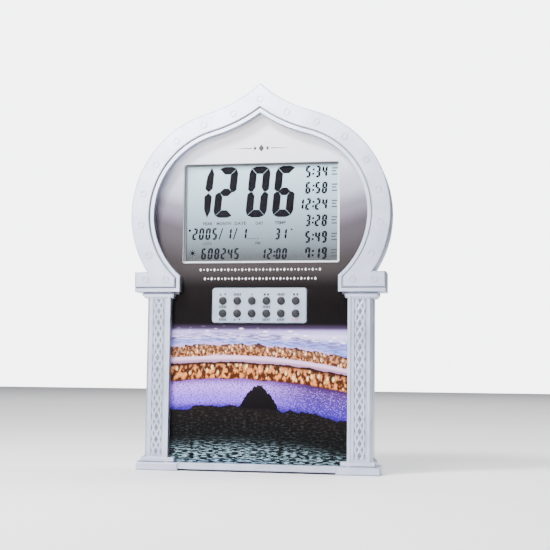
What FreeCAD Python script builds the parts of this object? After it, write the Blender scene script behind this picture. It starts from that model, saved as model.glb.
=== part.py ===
import FreeCAD, Part
import math
import os
from FreeCAD import Vector

# Table and wall clock in the shape of a horseshoe arch on two columns, in millimetres.
# X is to the viewer's right, Y goes from the front face to the back, Z is up.
# The origin is the centre of the overall box at its bottom: the plinths stand on Z = 0.

os.makedirs("parts", exist_ok=True)

# Overall sizes
height = 300.0
depth = 38.0
wall = 2.4

# Arch: one side circle and one hollow curve up to the point, mirrored
arch_centre_x = 19.8
arch_centre_z = 198.0
arch_radius = 82.0
ogee_radius = 100.0
band_face = 14.4
band_lip = 17.8
lip_step = 1.2

# Blocks below the arch
block_outer = 97.8
block_top = 152.5
block_bottom = 137.2
block_inner = 62.0
block_lip = 3.6
groove_width = 0.9
groove_depth = 0.8
face_bevel = 0.7

# Columns
shaft_inner = 69.3
shaft_outer = 88.0
shaft_face = 3.4
shaft_chamfer = 2.0
capital_top = 136.1
capital_bottom = 132.4
capital_outer = 92.0
capital_inner = 66.6
capital_face = 2.2
capital_rim = 1.3
capital_taper = 2.0
capital_bevel = 0.9
base_top = 9.8
base_bottom = 6.3
base_outer = 90.4
base_inner = 64.1
base_face = 2.4
base_bevel = 0.6
base_groove = 0.8
plinth_top = 5.7
plinth_outer = 94.1
plinth_inner = 60.9
plinth_face = 1.0
plinth_bevel = 0.8
plinth_lift = 0.8
rail_bottom = 1.2
rail_top = 6.2
rail_face = 2.6
cove_top = 13.5
cove_share = 0.3
tub_face = 5.4
bond = 0.4

# Shell and back cover
shell_back = 6.0
skin = 2.2
cover_inset = 1.6
cover_plate = 2.2
cover_lip = 3.0
lip_gap = 0.3

# Raised rings on the arch and the blocks
ring_radius = 2.7
ring_width = 0.9
ring_rise = 0.45
ring_pitch = 24.95
ring_inset = 0.5
tip_ring_drop = 2.2
ring_count = 7
block_ring_x = (72.9, 89.1)
block_ring_z = 146.6

# Front panel, display window and button plate
panel_depth = 8.5
panel_thick = 1.8
window_half = 62.0
window_bottom = 160.0
window_top = 238.6
window_corner = 1.8
bezel_rim = 1.7
bezel_setback = 0.5
fit_gap = 0.15
plate_half = 37.2
plate_bottom = 113.4
plate_top = 140.6
plate_corner = 2.4
plate_rise = 1.1
keypad_ledge = 2.0

# Display carrier, glass and circuit board
carrier_half = 70.5
carrier_bottom = 108.0
carrier_top = 244.0
carrier_thick = 1.5
fence_wall = 1.4
glass_margin = 1.5
glass_thick = 2.2
reflector_thick = 0.4
zebra_height = 2.95
board_thick = 1.6
zebra_width = 2.4
board_screw_radius = 1.1
board_screws = [(-67.5, 228.0), (67.5, 228.0), (-67.5, 170.0), (67.5, 170.0), (-50.0, 113.0), (50.0, 113.0)]
chip_places = [(-36.0, 192.0, 7.0), (50.0, 214.0, 5.0)]
chip_height = 1.6
voice_chip_place = (-50.0, 222.0)
voice_chip_legs = 7
voice_chip_pitch = 1.27
crystal_place = (-55.0, 175.0)
capacitor_places = [(56.0, 196.0), (56.0, 172.0)]
sensor_place = (60.0, 116.0)
lead_radius = 0.7
speaker_lead_drop = 5.3
speaker_lead_dip = 1.5
speaker_lead_stagger = 1.2
battery_lead_drop = 0.85
battery_lead_dip = 1.0
battery_lead_below = 6.0

# Buttons
button_pitch_x = 11.45
button_pitch_z = 9.75
button_columns = 6
button_low_z = 120.75
button_radius = 2.95
button_rise = 1.4
button_dome = 0.5
button_play = 0.2
button_flange_radius = 3.9
button_flange = 0.6
button_stem_radius = 1.6
button_travel = 1.2
membrane_thick = 0.8
membrane_dome = 0.3
membrane_dome_radius = 2.6

# Speaker
speaker_z = 207.0
speaker_radius = 28.5
speaker_rim = 2.0
speaker_basket = 7.0
speaker_cone_radius = 24.6
speaker_ledge = 2.4
speaker_peg_radius = 2.6
magnet_radius = 14.0
magnet_height = 5.0
grille_slot = 2.4
grille_pitch = 5.0
grille_radius = 24.0

# Battery bay: cells lie across, one above the other
cell_radius = 7.25
cell_length = 50.5
cell_button = 1.2
cell_button_radius = 2.6
cell_pitch = 15.2
cell_count = 3
cell_gap = 0.3
bay_wall = 1.4
bay_centre_z = 138.0
spring_length = 3.2
contact_thick = 0.4
door_thick = 1.6
door_gap = 0.35
hinge_pin_radius = 0.5
hinge_pin_reach = 1.2

# Folding stand leg
leg_pivot_z = 104.0
leg_bottom = 12.0
leg_half = 13.6
leg_thick = 4.0
leg_gap = 0.5
leg_pocket = 5.2
pin_radius = 1.0
pin_running = 0.05
pin_seat = 3.0

# Keyhole for a wall screw
keyhole_z = 256.0
keyhole_radius = 4.5
keyhole_slot_radius = 2.2
keyhole_rise = 9.0

# Volume switch
switch_x = 48.0
switch_z = 186.0
switch_length = 12.0
switch_width = 6.0
switch_height = 5.4
knob_length = 3.6
knob_width = 3.4
knob_travel = 4.0
knob_sink = 0.2
knob_clear = 0.3

# Screws
screw_radius = 1.4
screw_head_radius = 2.7
screw_head = 1.8
boss_radius = 3.6
cover_screw_length = 10.0
carrier_boss_radius = 3.2
carrier_hole_depth = 6.0
post_radius = 2.8
well_radius = 3.1
well_wall = 1.2
well_floor = 1.8

front = ring_rise - depth / 2
back = depth / 2
panel_front = front + panel_depth
panel_back = panel_front + panel_thick
carrier_back = panel_back + carrier_thick
glass_front = carrier_back
glass_back = glass_front + glass_thick
board_front = glass_back + zebra_height
board_back = board_front + board_thick
cover_inside = back - cover_plate
boss_end = shell_back - cover_lip
cell_y = back - door_thick - cell_gap - cell_radius
bay_inside = cell_y - cell_radius - cell_gap
bay_half = cell_length / 2 + spring_length + contact_thick
bay_low = bay_centre_z - cell_pitch - cell_radius - cell_gap
bay_high = bay_centre_z + cell_pitch + cell_radius + cell_gap
ledge = back - door_thick
door_half = bay_half + bay_wall - door_gap
door_low = bay_low - bay_wall + door_gap
door_high = bay_high + bay_wall - door_gap
hinge_y = back - door_thick / 2
hinge_z = door_low + door_thick / 2
leg_y = back - 0.4 - leg_thick / 2
pocket_low = leg_bottom - 7.0
pocket_high = leg_pivot_z + leg_thick / 2 + leg_gap
speaker_screw_reach = speaker_radius + speaker_peg_radius + 0.4
speaker_screws = []
for turn in (90, 210, 330):
    turn_x = speaker_screw_reach * math.cos(math.radians(turn))
    turn_z = speaker_z + speaker_screw_reach * math.sin(math.radians(turn))
    speaker_screws.append((turn_x, turn_z))


def save(shape, node):
    shape.exportStep("parts/" + node + ".step")
    solids = shape.Solids
    print(node, len(solids), "solids", round(sum(s.Volume for s in solids)), "mm3")


def box(x0, x1, y0, y1, z0, z1):
    return Part.makeBox(x1 - x0, y1 - y0, z1 - z0, Vector(x0, y0, z0))


def rod(x, z, radius, y0, y1):
    return Part.makeCylinder(radius, y1 - y0, Vector(x, y0, z), Vector(0, 1, 0))


# A round bar across the middle: from -reach to reach along X
def bar(radius, reach, y, z):
    return Part.makeCylinder(radius, 2 * reach, Vector(-reach, y, z), Vector(1, 0, 0))


def mirrored(shape):
    return shape.mirror(Vector(0, 0, 0), Vector(1, 0, 0))


def both_sides(shape):
    return [shape, mirrored(shape)]


def slab(wire, y0, y1):
    face = Part.Face(wire)
    face.translate(Vector(0, y0, 0))
    return face.extrude(Vector(0, y1 - y0, 0))


def line(a, b):
    return Part.makeLine(Vector(a[0], 0, a[1]), Vector(b[0], 0, b[1]))


def arc(a, middle, b):
    return Part.Arc(Vector(a[0], 0, a[1]), Vector(middle[0], 0, middle[1]), Vector(b[0], 0, b[1])).toShape()


def rounded(half, z0, z1, radius, x=0.0):
    solid = Part.makeBox(2 * half, 1, z1 - z0, Vector(x - half, 0, z0))
    upright = [e for e in solid.Edges if abs(e.tangentAt(e.FirstParameter).y) > 0.9]
    section = solid.makeFillet(radius, upright).Faces
    flat = [f for f in section if abs(f.CenterOfMass.y) < 1e-6][0]
    return flat.OuterWire


# Centre of the hollow curve: it passes through the point of the arch and meets the side circle smoothly
def ogee_centre():
    dx = arch_centre_x
    dz = arch_centre_z - height
    span = math.hypot(dx, dz)
    reach = arch_radius + ogee_radius
    turn = math.acos((ogee_radius ** 2 + span ** 2 - reach ** 2) / (2 * ogee_radius * span))
    angle = math.atan2(dz, dx) + turn
    return ogee_radius * math.cos(angle), height + ogee_radius * math.sin(angle)


ogee_x, ogee_z = ogee_centre()


# The arch line, moved inwards by an offset: its point, its join and its foot at height foot_z
def arch_points(offset, foot_z):
    side = arch_radius - offset
    hollow = ogee_radius + offset
    tip = (0.0, ogee_z - math.sqrt(hollow ** 2 - ogee_x ** 2))
    join_angle = math.atan2(ogee_z - arch_centre_z, ogee_x - arch_centre_x)
    join = (arch_centre_x + side * math.cos(join_angle), arch_centre_z + side * math.sin(join_angle))
    foot_angle = math.asin((foot_z - arch_centre_z) / side)
    foot = (arch_centre_x + side * math.cos(foot_angle), foot_z)
    start = math.atan2(tip[1] - ogee_z, tip[0] - ogee_x)
    end = join_angle - math.pi
    middle_angle = (start + end) / 2
    hollow_middle = (ogee_x + hollow * math.cos(middle_angle), ogee_z + hollow * math.sin(middle_angle))
    side_angle = (join_angle + foot_angle) / 2
    side_middle = (arch_centre_x + side * math.cos(side_angle), arch_centre_z + side * math.sin(side_angle))
    return tip, hollow_middle, join, side_middle, foot


def arch_foot_z(offset, x):
    return arch_centre_z - math.sqrt((arch_radius - offset) ** 2 - (x - arch_centre_x) ** 2)


def flip(point):
    return (-point[0], point[1])


# A closed wire from the arch line down to its feet and then along the given points, mirrored
def arch_wire(offset, foot_z, below):
    tip, hollow, join, side, foot = arch_points(offset, foot_z)
    edges = [arc(tip, hollow, join), arc(join, side, foot)]
    last = foot
    for step in below:
        if isinstance(step[0], tuple):
            edges.append(arc(last, step[0], step[1]))
            last = step[1]
        else:
            edges.append(line(last, step))
            last = step
    edges += [mirrored(e) for e in reversed(edges)]
    return Part.Wire(Part.__sortEdges__(edges))


# Outer line of the whole case, moved inwards by an inset
def case_wire(inset):
    cove_x = shaft_outer + cove_share * (base_outer - shaft_outer) - inset
    cove_z = base_top + cove_share * (cove_top - base_top)
    plinth_line = plinth_top + plinth_lift - inset / 2
    return arch_wire(inset, block_top - inset, [
        (block_outer - inset, block_top - inset),
        (block_outer - inset, block_bottom + inset),
        (capital_outer - inset, block_bottom + inset),
        (capital_outer - inset, capital_top - capital_rim),
        (shaft_outer + capital_taper - inset, capital_bottom + inset),
        (shaft_outer - inset, capital_bottom + inset),
        (shaft_outer - inset, cove_top),
        ((cove_x, cove_z), (base_outer - inset, base_top)),
        (base_outer - inset, plinth_line),
        (plinth_outer - inset, plinth_line),
        (plinth_outer - inset, inset),
        (plinth_inner - inset, inset),
        (plinth_inner - inset, rail_bottom + inset),
        (0.0, rail_bottom + inset),
    ])


# Opening between the lip of the arch, the blocks, the columns and the rail
def opening_wire(offset):
    grow = band_lip - offset
    edge = block_inner + grow
    return arch_wire(offset, arch_foot_z(offset, edge), [
        (edge, block_bottom - grow),
        (shaft_inner + grow, block_bottom - grow),
        (shaft_inner + grow, rail_top - grow),
        (0.0, rail_top - grow),
    ])


# Outline of the arch band and the blocks: the outer line of the arch, the block and then an inner line
def band_wire(inner_offset, edge, low):
    tip, hollow, join, side, foot = arch_points(0.0, block_top)
    inner_z = arch_foot_z(inner_offset, edge)
    inner_tip, inner_hollow, inner_join, inner_side, inner_foot = arch_points(inner_offset, inner_z)
    edges = [arc(tip, hollow, join), arc(join, side, foot)]
    edges.append(line(foot, (block_outer, block_top)))
    edges.append(line((block_outer, block_top), (block_outer, low)))
    edges.append(line((block_outer, low), (edge, low)))
    edges.append(line((edge, low), inner_foot))
    edges.append(arc(inner_foot, inner_side, inner_join))
    edges.append(arc(inner_join, inner_hollow, inner_tip))
    edges += [mirrored(e) for e in edges]
    return Part.Wire(Part.__sortEdges__(edges))


# Raised face of the arch band and the blocks, grown towards the opening by the given width
def face_wire(grow):
    edge = block_inner + band_lip - band_face - grow
    return band_wire(band_face + grow, edge, block_bottom + block_lip - grow)


def lip_wire():
    return band_wire(band_lip, block_inner, block_bottom)


def front_edges(solid, y):
    return [e for e in solid.Edges if abs(e.BoundBox.YMin - y) < 1e-4 and abs(e.BoundBox.YMax - y) < 1e-4]


def ring_places():
    inset = band_face / 2 + ring_inset
    tip, hollow, join, side, foot = arch_points(inset, block_top)
    path = Part.Wire([arc(tip, hollow, join), arc(join, side, foot)])
    places = [(0.0, tip[1] - tip_ring_drop)]
    points = path.discretize(Number=int(path.Length * 4))
    for index in range(1, ring_count + 1):
        spot = points[round(index * ring_pitch / path.Length * (len(points) - 1))]
        places += [(spot.x, spot.z), (-spot.x, spot.z)]
    for x in block_ring_x:
        places += [(x, block_ring_z), (-x, block_ring_z)]
    return places


def ring(x, z):
    outer = rod(x, z, ring_radius, front - ring_rise, front + bond)
    crown = outer.makeChamfer(ring_rise / 2, front_edges(outer, front - ring_rise))
    return crown.cut(rod(x, z, ring_radius - ring_width, front - ring_rise - 1, front + 1))


# Places of the six cover screws and the four carrier screws, in the hollow of the arch and the columns
column_x = (shaft_inner + shaft_outer) / 2
band_middle = arch_centre_x + arch_radius - band_face / 2 - 1.4
cover_screws = [(0.0, height - 14.5), (-band_middle + 14, 243.0), (band_middle - 14, 243.0)]
cover_screws += [(-column_x, 104.0), (column_x, 104.0), (-column_x, 24.0), (column_x, 24.0)]
carrier_screws = [(-band_middle, arch_centre_z), (band_middle, arch_centre_z)]
carrier_screws += [(-column_x - 1.5, 146.0), (column_x + 1.5, 146.0)]


# Shaft, capital, base step, groove and plinth in front of the shell. Capital, base step and groove
# reach over the edge of the opening, and there they go back as far as the sheet.
def column_front():
    root = front + tub_face + bond
    shaft = box(shaft_inner, shaft_outer, front + shaft_face, root, base_top - 1, capital_bottom + 1)
    sides = [e for e in front_edges(shaft, front + shaft_face) if abs(e.tangentAt(0).z) > 0.9]
    shaft = shaft.makeChamfer(shaft_chamfer, sides)
    corners = [
        (capital_inner, capital_top),
        (capital_outer, capital_top),
        (capital_outer, capital_top - capital_rim),
        (shaft_outer + capital_taper, capital_bottom),
        (shaft_inner - capital_taper, capital_bottom),
        (capital_inner, capital_top - capital_rim),
    ]
    outline = Part.Wire([line(a, b) for a, b in zip(corners, corners[1:] + corners[:1])])
    capital = slab(outline, front + capital_face, panel_front)
    capital = capital.makeChamfer(capital_bevel, front_edges(capital, front + capital_face))
    base = box(base_inner, base_outer, front + base_face, panel_front, base_bottom, base_top)
    base = base.makeChamfer(base_bevel, front_edges(base, front + base_face))
    groove = box(base_inner + base_groove, base_outer - base_groove, front + shaft_face, panel_front,
                 plinth_top - bond, base_bottom + bond)
    plinth = box(plinth_inner, plinth_outer, front + plinth_face, root, 0, plinth_top)
    plinth = plinth.makeChamfer(plinth_bevel, front_edges(plinth, front + plinth_face))
    hollow = box(shaft_inner + skin, block_outer, root, panel_front + 1, 0, block_bottom)
    return [shaft, capital.cut(hollow), base.cut(hollow), groove.cut(hollow), plinth]


# Hollow behind the face of the band, between the outer wall and the collar of the opening
def band_channel():
    inside = block_outer - wall
    ceiling = block_top - wall
    channel = slab(arch_wire(wall, ceiling, [
        (inside, ceiling),
        (inside, block_bottom + wall),
        (block_inner + skin, block_bottom + wall),
        (block_inner + skin, ceiling - 1),
        (0.0, ceiling - 1),
    ]), front + lip_step + skin, front + tub_face + skin + bond + 0.1)
    return channel.cut(slab(opening_wire(band_lip - skin), front, panel_front + 10))


def front_shell():
    root = front + tub_face + bond
    tub = slab(case_wire(0.0), front + tub_face, shell_back)
    tub = tub.cut(slab(case_wire(wall), front + tub_face + skin + bond, shell_back + 1))
    lip = slab(lip_wire(), front + lip_step, root)
    groove = slab(face_wire(groove_width), front, front + lip_step + groove_depth)
    face = slab(face_wire(0.0), front, front + lip_step + groove_depth + bond)
    face = face.makeChamfer(face_bevel, front_edges(face, front))
    rail = box(-plinth_inner - 1, plinth_inner + 1, front + rail_face, root, rail_bottom, rail_top)
    rail = rail.makeChamfer(base_bevel, front_edges(rail, front + rail_face))
    collar = slab(opening_wire(band_lip - skin), front + lip_step + groove_depth + bond, panel_front)
    shell = tub.fuse([lip.cut(groove), face, rail, collar])
    shell = shell.cut(slab(opening_wire(band_lip), front - 1, shell_back + 1))
    slot_back = front + tub_face + skin + bond + 0.1
    slot = box(shaft_inner + skin, shaft_outer - wall, front + tub_face + 0.2, slot_back,
               base_top + 2, capital_bottom - 2)
    shell = shell.cut([band_channel()] + both_sides(slot))
    pieces = [ring(x, z) for x, z in ring_places()]
    for piece in column_front():
        pieces += both_sides(piece)
    pieces += [rod(x, z, boss_radius, front + lip_step + 1, boss_end) for x, z in cover_screws[:3]]
    pieces += [rod(x, z, boss_radius, front + tub_face - 0.2, boss_end) for x, z in cover_screws[3:]]
    pieces += [rod(x, z, carrier_boss_radius, front + lip_step + 1, panel_back) for x, z in carrier_screws]
    shell = shell.fuse(pieces)
    holes = [rod(x, z, screw_radius, boss_end - cover_screw_length + 1, shell_back) for x, z in cover_screws]
    hole_front = panel_back - carrier_hole_depth
    holes += [rod(x, z, screw_radius, hole_front, panel_back + 1) for x, z in carrier_screws]
    return shell.cut(holes).removeSplitter()


# The printed sheet behind the frame, with its windows for the display and the button plate
def front_panel():
    sheet = slab(opening_wire(band_lip - skin + 0.4), panel_front, panel_back)
    window = rounded(window_half, window_bottom, window_top, window_corner)
    keys = rounded(plate_half + fit_gap, plate_bottom - fit_gap, plate_top + fit_gap, plate_corner)
    return sheet.cut([slab(wire, panel_front - 1, panel_back + 1) for wire in (window, keys)])


# Carrier behind the sheet: sloped rim in the window, walls round the glass, arms and posts
def display_carrier():
    plate = box(-carrier_half, carrier_half, panel_back, carrier_back, carrier_bottom, carrier_top)
    rim_front = panel_front + bezel_setback
    rim = rounded(window_half - fit_gap, window_bottom + fit_gap, window_top - fit_gap, window_corner)
    rim = slab(rim, rim_front, carrier_back)
    view = rounded(window_half - bezel_rim - fit_gap, window_bottom + bezel_rim, window_top - bezel_rim, 0.8)
    rim = rim.cut(slab(view, rim_front - 1, carrier_back + 1))
    opening = front_edges(rim, rim_front)
    opening = [e for e in opening if e.BoundBox.XMax < window_half - 1 and e.BoundBox.XMin > 1 - window_half]
    opening = [e for e in opening if e.BoundBox.ZMin > window_bottom + 1 and e.BoundBox.ZMax < window_top - 1]
    rim = rim.makeChamfer(bezel_rim - 0.3, opening)
    glass_half = window_half + glass_margin + fit_gap
    low = window_bottom - glass_margin - fit_gap
    high = window_top + glass_margin + fit_gap
    fence_half = glass_half + fence_wall
    fence = box(-fence_half, fence_half, carrier_back, glass_back + 1, low - fence_wall, high + fence_wall)
    fence = fence.cut(box(-glass_half, glass_half, carrier_back - 1, glass_back + 2, low, high))
    arms = []
    for x, z in carrier_screws:
        x0, x1 = sorted((x + math.copysign(4, x), math.copysign(carrier_half - 1, x)))
        arms.append(box(x0, x1, panel_back, carrier_back, z - 4, z + 4))
    posts = [rod(x, z, post_radius, carrier_back, board_front) for x, z in board_screws]
    body = plate.cut(slab(view, panel_back - 1, carrier_back + 1)).fuse([rim, fence] + arms + posts)
    keypad_half = plate_half - keypad_ledge
    keypad = box(-keypad_half, keypad_half, panel_back - 1, carrier_back + 1,
                 plate_bottom + keypad_ledge, plate_top - keypad_ledge)
    holes = [rod(x, z, screw_radius + 0.2, panel_back - 1, carrier_back + 1) for x, z in carrier_screws]
    holes += [rod(x, z, board_screw_radius, board_front - 4, board_front + 1) for x, z in board_screws]
    return body.cut([keypad] + holes).removeSplitter()


def glass_box(margin, y0, y1):
    half = window_half + margin
    return box(-half, half, y0, y1, window_bottom - margin, window_top + margin)


def zebra_strips():
    reach = window_half - 2
    strips = []
    for z in (window_bottom - glass_margin + 0.4, window_top + glass_margin - 0.4 - zebra_width):
        strips.append(box(-reach, reach, glass_back, board_front, z, z + zebra_width))
    return Part.Compound(strips)


def button_places():
    places = []
    for row in (1, 0):
        for column in range(button_columns):
            x = (column - (button_columns - 1) / 2) * button_pitch_x
            places.append((x, button_low_z + row * button_pitch_z))
    return places


def button_plate():
    plate_front = panel_front - plate_rise
    plate = slab(rounded(plate_half, plate_bottom, plate_top, plate_corner), plate_front, panel_back)
    plate = plate.makeChamfer(plate_rise * 0.7, front_edges(plate, plate_front))
    hole_radius = button_radius + button_play
    return plate.cut([rod(x, z, hole_radius, plate_front - 1, panel_back + 1) for x, z in button_places()])


# One button: a domed cap, a flange behind the plate and a stem towards the rubber sheet
def button(x, z):
    top = panel_front - plate_rise - button_rise
    flange_front = panel_back + button_play
    cap = rod(x, z, button_radius, top + button_dome, flange_front + button_flange)
    crown_radius = (button_radius ** 2 + button_dome ** 2) / (2 * button_dome)
    ball = Part.makeSphere(crown_radius, Vector(x, top + crown_radius, z))
    crown = ball.common(rod(x, z, button_radius, top - 1, top + button_dome))
    flange = rod(x, z, button_flange_radius, flange_front, flange_front + button_flange)
    stem_end = board_front - membrane_thick - membrane_dome - button_travel - 0.1
    stem = rod(x, z, button_stem_radius, flange_front, stem_end)
    return cap.fuse([crown, flange, stem]).removeSplitter()


def keypad_membrane():
    sheet_front = board_front - membrane_thick
    sheet = box(3 - plate_half, plate_half - 3, sheet_front, board_front, plate_bottom + 2.5, plate_top - 3)
    domes = []
    for x, z in button_places():
        foot = Vector(x, sheet_front, z)
        dome = Part.makeCone(membrane_dome_radius, button_stem_radius, membrane_dome, foot, Vector(0, -1, 0))
        domes.append(dome)
    return sheet.fuse(domes)


def main_board():
    board = box(-carrier_half, carrier_half, board_front, board_back, carrier_bottom, carrier_top)
    hole_radius = board_screw_radius + fit_gap
    return board.cut([rod(x, z, hole_radius, board_front - 1, board_back + 1) for x, z in board_screws])


# The display driver and the clock chip under their drops of resin
def board_chips():
    chips = []
    for x, z, radius in chip_places:
        drop = Part.makeCone(radius, radius * 0.6, chip_height, Vector(x, board_back, z), Vector(0, 1, 0))
        chips.append(drop)
    return Part.Compound(chips)


def voice_chip():
    x, z = voice_chip_place
    body = box(x - 5, x + 5, board_back + 0.2, board_back + 2.2, z - 3.8, z + 3.8)
    legs = []
    for index in range(voice_chip_legs):
        leg_x = x + (index - (voice_chip_legs - 1) / 2) * voice_chip_pitch
        for side in (-1, 1):
            z0, z1 = sorted((z + side * 3.6, z + side * 5.2))
            legs.append(box(leg_x - 0.2, leg_x + 0.2, board_back, board_back + 0.4, z0, z1))
    return body.fuse(legs)


def crystal():
    x, z = crystal_place
    can = Part.makeCylinder(1.5, 8.0, Vector(x, board_back + 1.5, z), Vector(0, 0, 1))
    return can.makeFillet(0.4, [e for e in can.Edges if e.Closed])


def capacitors():
    return Part.Compound([rod(x, z, 2.5, board_back, board_back + 5.5) for x, z in capacitor_places])


def temperature_sensor():
    x, z = sensor_place
    bead = Part.makeSphere(1.3, Vector(x, board_back + 2.0, z))
    legs = [rod(x + side * 0.6, z, 0.25, board_back, board_back + 2.0) for side in (-1, 1)]
    return bead.fuse(legs)


def board_screw(x, z):
    head = rod(x, z, 2.3, board_back, board_back + 1.4)
    shank = rod(x, z, board_screw_radius, board_back - 5.0, board_back)
    return recess(head.fuse(shank), x, z, board_back + 1.4)


# A cross recess in a screw head whose top is at y
def recess(screw, x, z, y):
    depth_in = screw_head / 2
    long_bar = box(x - 1.3, x + 1.3, y - depth_in, y + 1, z - 0.25, z + 0.25)
    cross_bar = box(x - 0.25, x + 0.25, y - depth_in, y + 1, z - 1.3, z + 1.3)
    return screw.cut([long_bar, cross_bar])


def carrier_screw(x, z):
    head = rod(x, z, screw_head_radius, carrier_back, carrier_back + screw_head)
    shank = rod(x, z, screw_radius, panel_back - 5.5, carrier_back)
    return recess(head.fuse(shank), x, z, carrier_back + screw_head)


def cover_screw(x, z):
    seat = boss_end + well_floor
    head = rod(x, z, screw_head_radius, seat, seat + screw_head)
    shank = rod(x, z, screw_radius, seat - cover_screw_length, seat)
    return recess(head.fuse(shank), x, z, seat + screw_head)


# Back cover: a tray with a lip into the shell, screw wells, battery bay, leg pocket, grille and keyhole
def back_cover():
    tray = slab(case_wire(cover_inset), shell_back, back)
    rear = [e for e in tray.Edges if abs(e.BoundBox.YMin - back) < 1e-4]
    tray = tray.makeChamfer(1.5, rear)
    tray = tray.cut(slab(case_wire(cover_inset + wall), shell_back - 1, cover_inside))
    lip = slab(case_wire(wall + lip_gap), shell_back - cover_lip, shell_back + 1)
    lip = lip.cut(slab(case_wire(cover_inset + wall), shell_back - cover_lip - 1, shell_back + 2))
    lip_front = shell_back - cover_lip
    low_gap = box(-block_outer, block_outer, lip_front, shell_back, 0, cove_top + 2)
    high_gap = box(-block_outer, block_outer, lip_front, shell_back, capital_bottom - 2, block_top + 2)
    lip = lip.cut([low_gap, high_gap])
    foot_outer = plinth_outer - cover_inset
    feet = both_sides(box(plinth_inner + 2, foot_outer, shell_back, back - 2, 0, cover_inset + wall))
    wells = [rod(x, z, well_radius + well_wall, boss_end, back - 1) for x, z in cover_screws]
    bay = box(-bay_half - bay_wall, bay_half + bay_wall, bay_inside - bay_wall, ledge,
              bay_low - bay_wall, bay_high + bay_wall)
    pocket_half = leg_half + leg_gap
    pocket_floor = back - leg_pocket
    pocket = box(-pocket_half - bay_wall, pocket_half + bay_wall, pocket_floor - bay_wall, back - 1,
                 pocket_low - bay_wall, pocket_high + bay_wall)
    seat_x = pocket_half + pin_seat + 1
    seats = box(-seat_x, seat_x, pocket_floor, back - 1, leg_pivot_z - 4, leg_pivot_z + 4)
    peg_front = cover_inside - speaker_rim
    pegs = [rod(x, z, speaker_peg_radius, peg_front, cover_inside) for x, z in speaker_screws]
    cover = tray.fuse([lip, bay, pocket, seats] + feet + wells + pegs)
    cuts = [rod(x, z, well_radius, boss_end + well_floor, back + 1) for x, z in cover_screws]
    cuts += [rod(x, z, screw_radius + 0.2, boss_end - 1, back) for x, z in cover_screws]
    cuts += [rod(x, z, board_screw_radius, cover_inside - 5, cover_inside + 1.2) for x, z in speaker_screws]
    cuts.append(box(-bay_half, bay_half, bay_inside, back + 1, bay_low, bay_high))
    cuts.append(box(-door_half - door_gap, door_half + door_gap, ledge, back + 1,
                    door_low - door_gap, door_high + door_gap))
    socket_reach = door_half + hinge_pin_reach + 0.4
    cuts.append(bar(hinge_pin_radius + pin_running, socket_reach, hinge_y, hinge_z))
    cuts.append(box(-pocket_half, pocket_half, pocket_floor, back + 1, pocket_low, pocket_high))
    cuts.append(bar(pin_radius, pocket_half + pin_seat, leg_y, leg_pivot_z))
    cuts += grille_slots()
    cuts.append(rod(0, keyhole_z, keyhole_radius, cover_inside - 1, back + 1))
    cuts.append(box(-keyhole_slot_radius, keyhole_slot_radius, cover_inside - 1, back + 1,
                    keyhole_z, keyhole_z + keyhole_rise))
    cuts.append(rod(0, keyhole_z + keyhole_rise, keyhole_slot_radius, cover_inside - 1, back + 1))
    knob_half = knob_width / 2 + knob_clear
    knob_reach = (knob_length + knob_travel) / 2 + knob_clear
    cuts.append(box(switch_x - knob_half, switch_x + knob_half, cover_inside - 1, back + 1,
                    switch_z - knob_reach, switch_z + knob_reach))
    return cover.cut(cuts).removeSplitter()


def grille_slots():
    slots = []
    rows = int(grille_radius / grille_pitch)
    for row in range(-rows, rows + 1):
        z = row * grille_pitch
        reach = math.sqrt(grille_radius ** 2 - z ** 2) - grille_slot / 2
        half = grille_slot / 2
        middle = speaker_z + z
        slots.append(box(-reach, reach, cover_inside - 1, back + 1, middle - half, middle + half))
        slots += [rod(side * reach, middle, half, cover_inside - 1, back + 1) for side in (-1, 1)]
    return slots


def turned(points, x, z):
    vectors = [Vector(radius, y, 0) for radius, y in points]
    wire = Part.makePolygon(vectors + vectors[:1])
    solid = Part.Face(wire).revolve(Vector(0, 0, 0), Vector(0, 1, 0), 360)
    solid.translate(Vector(x, 0, z))
    return solid


def speaker_frame():
    rim_back = cover_inside
    rim_front = cover_inside - speaker_rim
    foot = rim_front - speaker_basket
    return turned([
        (speaker_cone_radius + 0.6, rim_back),
        (speaker_radius, rim_back),
        (speaker_radius, rim_front),
        (speaker_radius - speaker_ledge, rim_front),
        (magnet_radius + 1.0, foot),
        (7.0, foot),
        (7.0, foot + 1.0),
        (magnet_radius, foot + 1.0),
        (speaker_cone_radius + 0.6, rim_front),
    ], 0, speaker_z)


def speaker_cone():
    edge = cover_inside - 0.8
    throat = edge - speaker_basket + 0.6
    return turned([
        (0.0, throat + 3.2),
        (5.0, throat + 1.6),
        (speaker_cone_radius - 3.0, edge),
        (speaker_cone_radius + 0.4, edge),
        (speaker_cone_radius + 0.4, edge - 0.6),
        (speaker_cone_radius - 2.6, edge - 0.6),
        (5.2, throat + 0.9),
        (0.0, throat + 2.5),
    ], 0, speaker_z)


def speaker_magnet():
    foot = cover_inside - speaker_rim - speaker_basket
    magnet = rod(0, speaker_z, magnet_radius, foot - magnet_height, foot)
    return magnet.makeFillet(0.8, [e for e in front_edges(magnet, foot - magnet_height) if e.Closed])


# Screws beside the speaker whose heads hold its rim down
def speaker_screw(x, z):
    seat = cover_inside - speaker_rim
    head = rod(x, z, speaker_peg_radius + 1.6, seat - 1.4, seat)
    shank = rod(x, z, board_screw_radius, seat, cover_inside + 1.2)
    return head.fuse(shank)


def cell_rows():
    return [bay_centre_z + (row - (cell_count - 1) / 2) * cell_pitch for row in range(cell_count)]


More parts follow.
